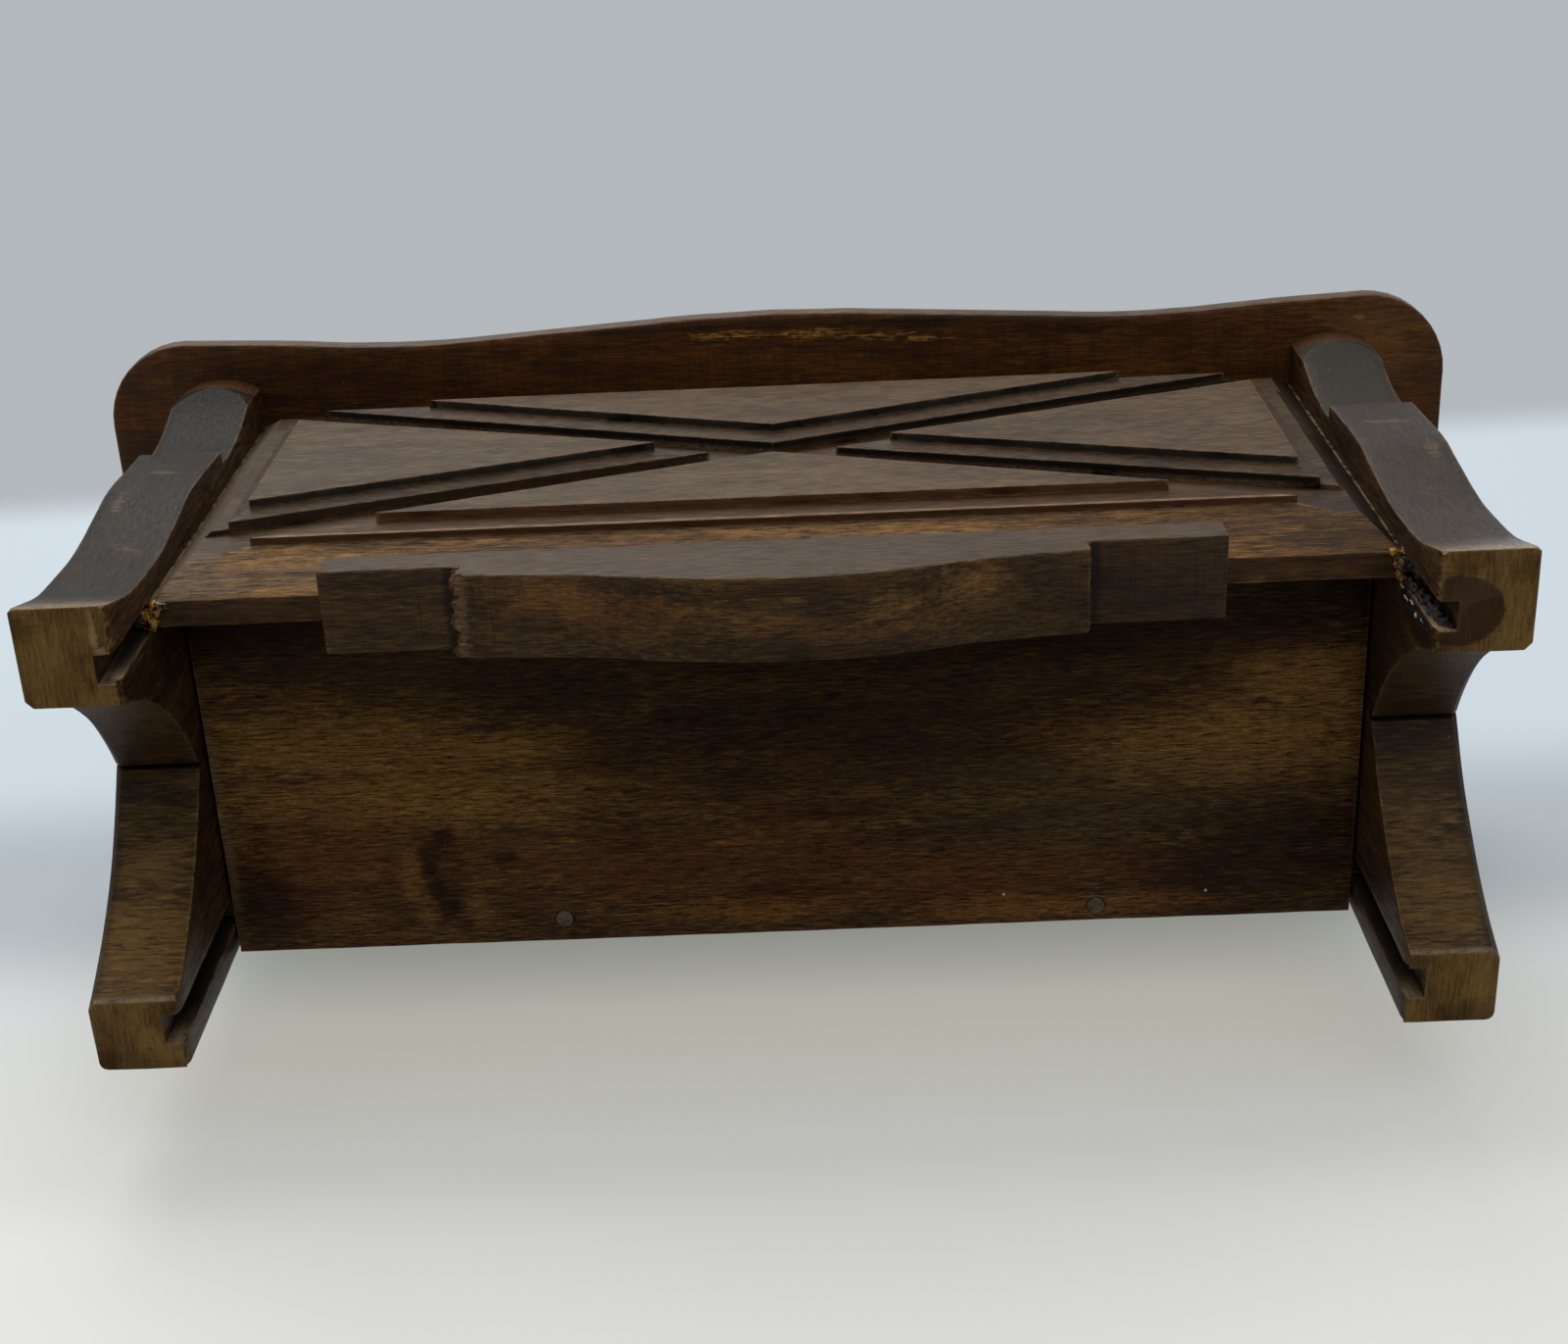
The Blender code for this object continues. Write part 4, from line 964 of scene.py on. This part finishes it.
def bottom_finish(settings):
    """Dark stain with golden, red and grey places and the mark of a knot, with painted shade in the
    corners and a painted reflection at the left end.
    """
    finish = Finish("dark_bottom", ALONG_X, (0.2, 0.0, 0.0))

    def under(*rows, ragged=1.8):
        """Mask of places on the underside, each its X, Y, reach along both and reach upward."""
        low = BOARD_LOW.z / MM
        places = [((x, y, low), (wide, deep, up)) for x, y, wide, deep, up in rows]
        return finish.spots(places, ragged)

    finish.wood(linear(62, 46, 32), linear(88, 66, 42), linear(110, 84, 48), 1.4, 0.45, 1.0)
    golden = under((-100, 6, 36, 10, 9), (-66, 9, 24, 6, 9), (-82, 20, 50, 9, 9))
    finish.over(golden, linear(134, 102, 54), 0.66)
    finish.over(under((97, 14, 37, 11, 9), (117, -2, 17, 9, 9)), linear(134, 102, 56), 0.66)
    red = under((-105, 36, 28, 14, 9), (-20, 40, 60, 10, 9), (30, 45, 60, 9, 9), (4, 31, 16, 3, 9))
    finish.over(red, linear(98, 64, 38), 0.5)
    finish.over(under((75, 30, 46, 11, 9), (60, 20, 50, 6, 9)), linear(84, 70, 50), 0.4)
    dark = under(
        (34, -14, 58, 11, 9), (70, -14, 60, 9, 9), (16, 8, 52, 13, 9), (105, 44, 28, 12, 9),
        (-121, 48, 12, 11, 9), (-66, 36, 4, 3, 5), (0, 48, 14, 4, 9), (8, 26, 20, 4, 9),
        (4, 16, 44, 9, 9),
    )
    finish.shade(dark, (0.46, 0.39, 0.46), 0.75)
    finish.over(under((-70, -18, 56, 10, 9)), linear(96, 66, 50), 0.55)
    # Painted shade in the board's corners, next to the legs and under the apron
    corners = under(
        (-116, -22, 26, 13, 9), (122, -26, 26, 13, 9), (-124, 44, 9, 14, 9), (112, 38, 24, 14, 9),
    )
    finish.shade(corners, (0.30, 0.28, 0.30), 0.7)
    finish.shade(under((-118, -26, 26, 9, 9), (126, -28, 22, 9, 9)), (0.40, 0.38, 0.40), 0.7)
    finish.shade(under((-40, 11, 16, 5, 9)), (0.50, 0.46, 0.48), 0.6)
    orange = under(
        (62, 54, 36, 3, 9), (-8, 52, 26, 3.5, 9), (-52, 32, 6, 0.9, 5), (-13, 34, 8, 0.8, 5),
        (39, 55, 12, 2, 5), ragged=2.4,
    )
    finish.over(orange, linear(136, 92, 46), 0.38)
    halo = under((-87.4, 40, 3.0, 9, 5), (-84.5, 48.5, 3.0, 5, 5), (-73, 48, 3.5, 6, 5), ragged=1.2)
    finish.over(halo, linear(126, 94, 50), 0.42)
    finish.shade(under((-79.5, 40, 6.0, 11, 9), ragged=1.4), (0.55, 0.48, 0.50), 0.8)
    knot = under(
        (-79.2, 30, 3.0, 2.8, 5), (-82.6, 34, 2.9, 3.4, 5), (-83.2, 38, 2.6, 3.6, 5),
        (-81.6, 43, 2.4, 3.8, 5), (-79.6, 49, 2.6, 4.0, 5), (-76.8, 53.6, 2.8, 2.2, 5), ragged=1.5,
    )
    finish.shade(knot, (0.30, 0.25, 0.28), 0.78)
    eyes = under((-64.8, 36, 3.4, 1.8, 5), (-35.7, 34.6, 4.5, 1.6, 5))
    finish.shade(eyes, (0.45, 0.40, 0.45), 0.6)
    end = finish.tree.band(finish.x, BOARD_LOW.x + 3.2 * MM, BOARD_LOW.x + 1.0 * MM)
    finish.over(end * under((-130, 22, 9, 34, 9)), linear(112, 98, 72), 0.5)
    # Painted reflection: a red-orange streak at the board's left end
    finish.over(under((-130.2, -8, 0.8, 10, 5), ragged=0.8), linear(150, 60, 36), 0.6)
    specks = under((49.5, 50.6, 0.4, 0.4, 1), (96.3, 51.6, 0.4, 0.4, 1), ragged=0.1)
    finish.over(specks, (0.62, 0.60, 0.52), 0.9)
    finish.wear_and_corner_shade(settings.worn, 0.3)
    finish.dust(0.3)
    return finish.done(0.35, shine=0.08)


class BOX_OT_back_panel(PieceOperator, bpy.types.Operator):
    """Make the plain back panel"""
    bl_idname = "jewelry_box.back_panel"
    bl_label = "Back panel"

    def execute(self, context):
        settings = context.scene.box_wood
        wooden_piece(
            settings, "plain_back", "back_panel", CASE,
            back_finish(settings), seed=9.0,
        )
        return {"FINISHED"}


def back_finish(settings):
    """Plain brown stain with rubbed edges."""
    finish = Finish("plain_back", ALONG_X, (0.4, 0.0, 0.1))
    finish.wood(linear(60, 42, 27), linear(102, 75, 48), linear(128, 94, 56), 1.4, 0.4)
    finish.wear_and_corner_shade(settings.worn, 0.35)
    finish.dust(0.2)
    return finish.done(0.4)


class BOX_OT_lid(PieceOperator, bpy.types.Operator):
    """Make the waved lid"""
    bl_idname = "jewelry_box.lid"
    bl_label = "Lid"

    def execute(self, context):
        settings = context.scene.box_wood
        wooden_piece(
            settings, "waved_lid", "lid", LID,
            lid_finish(settings), seed=11.0,
        )
        return {"FINISHED"}


def lid_finish(settings):
    """Planed underside, flaked stain along the front wave and a front edge paled by a painted
    sheen.
    """
    finish = Finish("waved_lid", ALONG_X, (0.1, 0.3, 0.0))
    band = finish.tree.band
    finish.wood(linear(56, 33, 14), linear(82, 51, 21), linear(102, 67, 28), 1.2, 0.45, 0.5)
    under = finish.facing(2, -1)
    bands = band(finish.noise((230, 16, 16), 4.0, 0.66), 0.44, 0.62)
    finish.shade(under * bands, (0.62, 0.56, 0.54), 0.6)
    planed = band(finish.noise((1300, 90, 90), 4.0, 0.7), 0.48, 0.62)
    finish.shade(under * planed, (0.60, 0.58, 0.56), 0.7)
    finish.shade(finish.spots([((-120, -50, 144), (40, 14, 6))]), (0.50, 0.44, 0.42), 0.7)
    dark = [
        ((-14, -60.4, 144), (44, 1.6, 5)), ((60, -59.4, 144), (60, 1.8, 5)),
        ((71, -56, 144), (14, 2.0, 5)),
    ]
    finish.shade(finish.spots(dark), (0.34, 0.28, 0.26), 0.8)
    rubbed = [
        ((-10, -57.6, 144), (10, 1.2, 3)), ((8, -57.3, 144), (10, 1.2, 3)),
        ((24, -56.2, 144), (9, 1.0, 3)), ((38, -54.8, 144), (8, 0.8, 3)),
        ((147.7, -55.3, 144), (1.4, 0.9, 2)),
    ]
    flakes = band(finish.noise((320, 1700, 1700), 3.0, 0.65), 0.45, 0.55)
    finish.over(finish.spots(rubbed, 2.2) * flakes, linear(160, 120, 56), 0.85)
    finish.over(finish.spots([((150, -48, 144), (16, 12, 5))]), linear(124, 92, 50), 0.4)
    # Painted grey sheen on the forward-facing front edge
    finish.over(finish.facing(1, -1, 0.5, 0.8), linear(96, 86, 74), 0.6)
    finish.wear_and_corner_shade(settings.worn, 0.5)
    finish.dust(0.2)
    return finish.done(0.35)


class BOX_OT_hinges(PieceOperator, bpy.types.Operator):
    """Finish the brass hinge leaves and pins, with eased edges"""
    bl_idname = "jewelry_box.hinges"
    bl_label = "Hinges"

    def execute(self, context):
        settings = context.scene.box_metal
        material = metal_finish("aged_brass", settings.brass)
        for name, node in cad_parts.items():
            if not name.startswith(("hinge_leaf", "hinge_pin")):
                continue
            dress_node(node, material)
            rounding = node.modifiers.new("eased_edges", "BEVEL")
            rounding.width = settings.edge_round
            rounding.segments = 2
            rounding.limit_method = "ANGLE"
            rounding.angle_limit = math.radians(40)
        return {"FINISHED"}


def dress_node(node, material):
    for slot in node.material_slots:
        slot.material = material


def metal_finish(name, color):
    """Rubbed metal with dull brown patches and fine scratches."""
    finish = Finish(name)
    dull = finish.tree.band(finish.noise(150.0, 5.0, 0.6), 0.38, 0.66)
    shades = [[entry * share for entry in color] for share in (0.8, 0.42)]
    finish.color = finish.tree.blend(dull, *shades)
    finish.height = finish.noise((400, 6000, 6000), 2.0, 0.5) * 0.6 + finish.noise(1400.0, 3.0, 0.6)
    finish.roughness = dull * 0.24 + 0.34
    finish.shader.inputs["Metallic"].default_value = 1.0
    finish.wear_and_corner_shade([min(entry * 1.4, 0.95) for entry in color], 0.7, 0.25 * MM, 0.45, 0.6)
    return finish.done(0.2, 0.05 * MM, 0.5, tint=(1.0, 1.0, 1.0))


class BOX_OT_screws(PieceOperator, bpy.types.Operator):
    """Make the bottom screws and the hinge screws from one set of nodes"""
    bl_idname = "jewelry_box.screws"
    bl_label = "Screws"

    def execute(self, context):
        settings = context.scene.box_metal
        brass = metal_finish("brass_screw", settings.brass)
        steel = metal_finish("dull_steel", settings.steel)
        group = screw_nodes()
        for row in (
            ("bottom_screws", "bottom_screw", CASE, steel, "steel_screw", False, True),
            ("case_hinge_screws", "hinge_screw_case", CASE, brass, "brass_screw", True, False),
            ("lid_hinge_screws", "hinge_screw_lid", LID, brass, "brass_screw", False, False),
        ):
            add_screws(settings, group, *row)
        return {"FINISHED"}


def screw_nodes():
    """Geometry nodes that set a countersunk screw with a cut slot on every given point.

    The head's face lies on the point and the shank runs up from it, or down where the head is up.
    """
    switch = "NodeSocketBool"
    group, tree, given, result = new_group(
        "screws", "GeometryNodeTree",
        [
            ("Geometry", "NodeSocketGeometry"), ("Head Radius", VALUE), ("Shank Radius", VALUE),
            ("Length", VALUE), ("Slot Width", VALUE), ("Slot Depth", VALUE), ("Crossed", switch),
            ("Head Up", switch), ("Material", "NodeSocketMaterial"),
        ],
        [("Geometry", "NodeSocketGeometry")],
    )
    radius = given["Head Radius"]
    shank = given["Shank Radius"]
    taper = radius - shank
    rim = taper * 0.22

    def cone(bottom, top, depth, height=0.0):
        made = tree.node("GeometryNodeMeshCone", {
            "Vertices": SCREW_SIDES, "Radius Bottom": bottom, "Radius Top": top, "Depth": depth,
        })
        return moved(made.outputs["Mesh"], {"Translation": tree.join(z=height)})

    def moved(mesh, values):
        return tree.node("GeometryNodeTransform", {"Geometry": mesh, **values}).outputs[0]

    def bar(length):
        size = tree.join(length, given["Slot Width"], given["Slot Depth"] * 2.0)
        return tree.node("GeometryNodeMeshCube", {"Size": size}).outputs["Mesh"]

    def combine(operation, first, meshes):
        node = tree.node("GeometryNodeMeshBoolean", operation=operation)
        if first:
            tree.feed(node.inputs["Mesh 1"], first)
        for mesh in meshes:
            tree.feed(node.inputs["Mesh 2"], mesh)
        return node.outputs["Mesh"]

    crown = cone(radius * 0.90, radius, rim)
    neck = cone(radius, shank, taper, rim)
    body = cone(shank, shank * 0.75, given["Length"], rim * 0.5)
    head = combine("UNION", None, (crown, neck, body))
    arm = bar(radius * 1.15)
    cross = combine("UNION", None, (arm, moved(arm, {"Rotation": (0.0, 0.0, math.pi / 2)})))
    driver = tree.node(
        "GeometryNodeSwitch",
        {"Switch": given["Crossed"], "False": bar(radius * 3.0), "True": cross},
        input_type="GEOMETRY",
    )
    screw = combine("DIFFERENCE", head, (driver.outputs[0],))
    turn = tree.node("FunctionNodeRandomValue", data_type="FLOAT")
    turn.inputs["Seed"].default_value = SCREW_TURN_SEED
    for socket in turn.inputs:
        if socket.name == "Max" and socket.type == "VALUE":
            socket.default_value = math.pi
    angle = next(socket for socket in turn.outputs if socket.enabled)
    placed = tree.node("GeometryNodeInstanceOnPoints", {
        "Points": given["Geometry"], "Instance": screw,
        "Rotation": tree.join(x=given["Head Up"] * math.pi, z=angle),
    })
    real = tree.node("GeometryNodeRealizeInstances", {"Geometry": placed.outputs[0]})
    painted = tree.node(
        "GeometryNodeSetMaterial", {"Geometry": real.outputs[0], "Material": given["Material"]},
    )
    tree.feed(result["Geometry"], painted.outputs[0])
    return group


def add_screws(settings, group, name, prefix, body, material, slot, head_up, crossed):
    """One mesh of all the screws whose nodes start with the prefix."""
    nodes = sorted(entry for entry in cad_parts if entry.startswith(prefix))
    boxes = [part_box(entry) for entry in nodes]
    places = [
        ((low.x + high.x) / 2, (low.y + high.y) / 2, high.z if head_up else low.z)
        for low, high in boxes
    ]
    low, high = boxes[0]
    head = (high.x - low.x) / 2
    points = bpy.data.meshes.new(name)
    points.from_pydata(places, [], [])
    piece = new_object(name, points)
    values = {
        "Head Radius": head, "Shank Radius": head * SHANK_SHARE,
        "Length": high.z - low.z - 0.1 * MM, "Slot Width": settings.slot_width,
        "Slot Depth": settings.slot_depth, "Crossed": crossed, "Head Up": head_up,
        "Material": material,
    }
    setter = piece.modifiers.new("screws", "NODES")
    setter.node_group = group
    for entry in group.interface.items_tree:
        if entry.in_out == "INPUT" and entry.name in values:
            setter[entry.identifier] = values[entry.name]
    plain_mesh(piece)
    piece.data.shade_smooth()
    piece.data.set_sharp_from_angle(angle=math.radians(30))
    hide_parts(*nodes)
    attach(piece, body)


def plain_mesh(piece):
    """Turns what the modifiers make into the piece's own mesh."""
    graph = bpy.context.evaluated_depsgraph_get()
    graph.update()
    made = bpy.data.meshes.new_from_object(piece.evaluated_get(graph), depsgraph=graph)
    piece.modifiers.clear()
    old = piece.data
    piece.data = made
    made.name = piece.name
    bpy.data.meshes.remove(old)


class BOX_OT_lining(PieceOperator, bpy.types.Operator):
    """Line the case and the lid with velvet over soft card"""
    bl_idname = "jewelry_box.lining"
    bl_label = "Velvet lining"

    def execute(self, context):
        settings = context.scene.box_lining
        material = velvet_finish(settings)
        for number, node in enumerate(sorted(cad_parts)):
            if node.startswith("lining_"):
                add_velvet(settings, node, material, number)
        return {"FINISHED"}


def add_velvet(settings, node, material, seed):
    """Velvet over thin padding on a card, with rolled edges and a low crown on its free face."""
    shape = cad_shape(node)
    ease_edges(shape, settings.roll, 3)
    cut_grid(shape, grid_spacing(settings))
    weather(shape, settings.pile, 140.0, seed)
    low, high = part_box(node)
    thin = min(range(3), key=lambda axis: high[axis] - low[axis])
    middle = (low[thin] + high[thin]) / 2
    inward = INSIDE[thin] - middle
    for vert in shape.verts:
        if (vert.co[thin] - middle) * inward < 0.0:
            continue
        margin = min(
            min(vert.co[axis] - low[axis], high[axis] - vert.co[axis])
            for axis in range(3) if axis != thin
        )
        share = min(max(margin / settings.crown_reach, 0.0), 1.0)
        vert.co[thin] -= math.copysign(settings.crown * (1.0 - share) ** 2, inward)
    name = "velvet_" + node.removeprefix("lining_")
    body = LID if node == "lining_lid" else CASE
    piece = finish_piece(shape, name, node, body, material, 60.0)


def velvet_finish(settings):
    """Short pile whose brushed patches catch the light, over a fine woven back."""
    finish = Finish("velvet")
    nap = finish.noise((34, 60, 60), 4.0, 0.55, 0.25)
    pile = finish.noise(3000.0, 2.0, 0.6)
    brushed = finish.tree.band(nap, 0.36, 0.68)
    lighter = [entry * 1.45 for entry in settings.velvet]
    finish.color = finish.tree.blend(brushed, settings.velvet, lighter)
    finish.height = nap * 1.5 + pile
    finish.roughness = brushed * -0.12 + 0.92
    finish.shade(finish.tree.band(pile, 0.55, 0.35), (0.40, 0.40, 0.40), 0.7)
    finish.shader.inputs["Sheen Weight"].default_value = 0.45
    finish.shader.inputs["Sheen Roughness"].default_value = 0.35
    finish.shader.inputs["Sheen Tint"].default_value = (0.75, 0.25, 0.27, 1.0)
    return finish.done(0.5, settings.pile, 0.05)


class BOX_OT_glue(PieceOperator, bpy.types.Operator):
    """Make the old glue that has run out of the front panel's grooves"""
    bl_idname = "jewelry_box.glue"
    bl_label = "Glue"

    def execute(self, context):
        for name, lumps, *looks in GLUES:
            add_lumps(name, lumps, glue_finish(name, *looks))
        return {"FINISHED"}


# Each kind of glue: lumps with centre and radii in millimetres, its two colours, and for the
# dark one its least roughness and its shine
GLUES = (
    ("amber_glue", (
        ((-132.2, -35.8, 27.2), (2.2, 2.0, 1.6)), ((-130.0, -37.2, 27.4), (2.0, 1.5, 1.3)),
        ((-131.0, -34.0, 27.0), (1.7, 1.6, 1.2)), ((-133.4, -37.6, 26.2), (1.2, 1.3, 1.7)),
        ((-128.4, -38.4, 27.3), (1.2, 0.9, 0.9)), ((130.2, -36.8, 27.2), (1.9, 1.8, 1.5)),
        ((131.4, -38.8, 28.0), (1.2, 1.2, 1.6)), ((128.8, -38.6, 27.9), (1.0, 0.9, 1.2)),
        ((130.6, -34.4, 26.6), (1.4, 1.4, 1.3)),
    ), linear(156, 112, 36), linear(34, 20, 8)),
    ("dark_glue", (
        ((-133.3, -36.4, 24.9), (1.4, 1.8, 1.4)), ((132.6, -37.4, 25.2), (2.0, 1.7, 3.0)),
        ((133.0, -37.8, 20.6), (1.9, 1.5, 3.8)), ((133.4, -38.2, 15.0), (1.6, 1.2, 4.2)),
        ((133.8, -38.4, 9.4), (1.2, 1.0, 4.2)), ((133.0, -33.2, 22.6), (2.6, 1.6, 4.4)),
        ((133.4, -33.0, 15.8), (2.6, 1.5, 4.6)), ((133.8, -32.8, 8.8), (2.6, 1.3, 4.6)),
        ((134.0, -32.8, 4.6), (2.4, 1.2, 3.2)), ((130.9, -30.2, 22.0), (0.7, 2.8, 4.6)),
        ((130.9, -30.4, 14.6), (0.6, 2.4, 4.8)), ((130.9, -31.2, 7.6), (0.5, 1.6, 4.2)),
    ), linear(34, 22, 15), linear(6, 5, 4), 0.46, 0.22),
    ("pale_glue", (
        ((130.2, -32.6, 25.0), (0.25, 0.25, 1.8)), ((130.3, -31.2, 21.6), (0.2, 0.22, 2.0)),
        ((130.4, -31.9, 17.4), (0.2, 0.25, 1.5)), ((130.4, -30.6, 13.4), (0.25, 0.6, 1.0)),
        ((130.5, -31.2, 9.6), (0.2, 0.25, 1.4)), ((131.6, -31.6, 5.4), (0.5, 0.3, 1.3)),
        ((132.6, -31.7, 2.6), (0.6, 0.3, 0.7)),
    ), linear(176, 172, 160), linear(96, 88, 74)),
)


def add_lumps(name, lumps, material):
    """Lumpy blobs of hardened glue, each a bent ball."""
    shape = bmesh.new()
    for centre, radii in lumps:
        size = Matrix.Diagonal((*[radius * MM for radius in radii], 1.0))
        place = Matrix.Translation(Vector(centre) * MM)
        made = bmesh.ops.create_icosphere(shape, subdivisions=4, radius=1.0, matrix=place @ size)
        shape.normal_update()
        for vert in made["verts"]:
            bend = noise.noise(vert.co * 620.0) + 0.5 * noise.noise(vert.co * 1700.0)
            vert.co += vert.normal * bend * min(radii) * 0.8 * MM
    finish_piece(shape, name, None, CASE, material, 80.0)


def glue_finish(name, color, dark, least_roughness=0.18, shine=0.5):
    """Hardened glue with cloudy darker places."""
    finish = Finish(name)
    cloud = finish.noise(620.0, 4.0, 0.6)
    finish.color = finish.tree.blend(finish.tree.band(cloud, 0.44, 0.56), color, dark)
    finish.height = finish.noise(1300.0, 3.0, 0.6)
    finish.roughness = cloud * 0.3 + least_roughness
    finish.shader.inputs["Subsurface Weight"].default_value = 0.15
    finish.shader.inputs["Subsurface Scale"].default_value = 0.6 * MM
    return finish.done(0.5, 0.2 * MM, shine, tint=(1.0, 1.0, 1.0))


STEPS = (
    BOX_OT_stage, BOX_OT_sides, BOX_OT_front_panel, BOX_OT_apron, BOX_OT_bottom_board,
    BOX_OT_back_panel, BOX_OT_lid, BOX_OT_hinges, BOX_OT_screws, BOX_OT_lining, BOX_OT_glue,
)


class BOX_PT_panel(bpy.types.Panel):
    """Settings and steps of the jewelry box"""
    bl_idname = "BOX_PT_panel"
    bl_label = "Jewelry Box"
    bl_space_type = "VIEW_3D"
    bl_region_type = "UI"
    bl_category = "Jewelry Box"

    def draw(self, context):
        for name, kind in SETTINGS.items():
            column = self.layout.box().column()
            for entry in kind.__annotations__:
                column.prop(getattr(context.scene, name), entry)
        for step in STEPS:
            self.layout.operator(step.bl_idname)


def register():
    for kind in (*SETTINGS.values(), *STEPS, BOX_PT_panel):
        bpy.utils.register_class(kind)
    for name, kind in SETTINGS.items():
        setattr(bpy.types.Scene, name, PointerProperty(type=kind))


def unregister():
    for name in SETTINGS:
        delattr(bpy.types.Scene, name)
    for kind in reversed((*SETTINGS.values(), *STEPS, BOX_PT_panel)):
        bpy.utils.unregister_class(kind)


def main():
    register()
    build_groups()
    for step in STEPS:
        group, name = step.bl_idname.split(".")
        getattr(getattr(bpy.ops, group), name)()


if __name__ == "__main__":
    main()
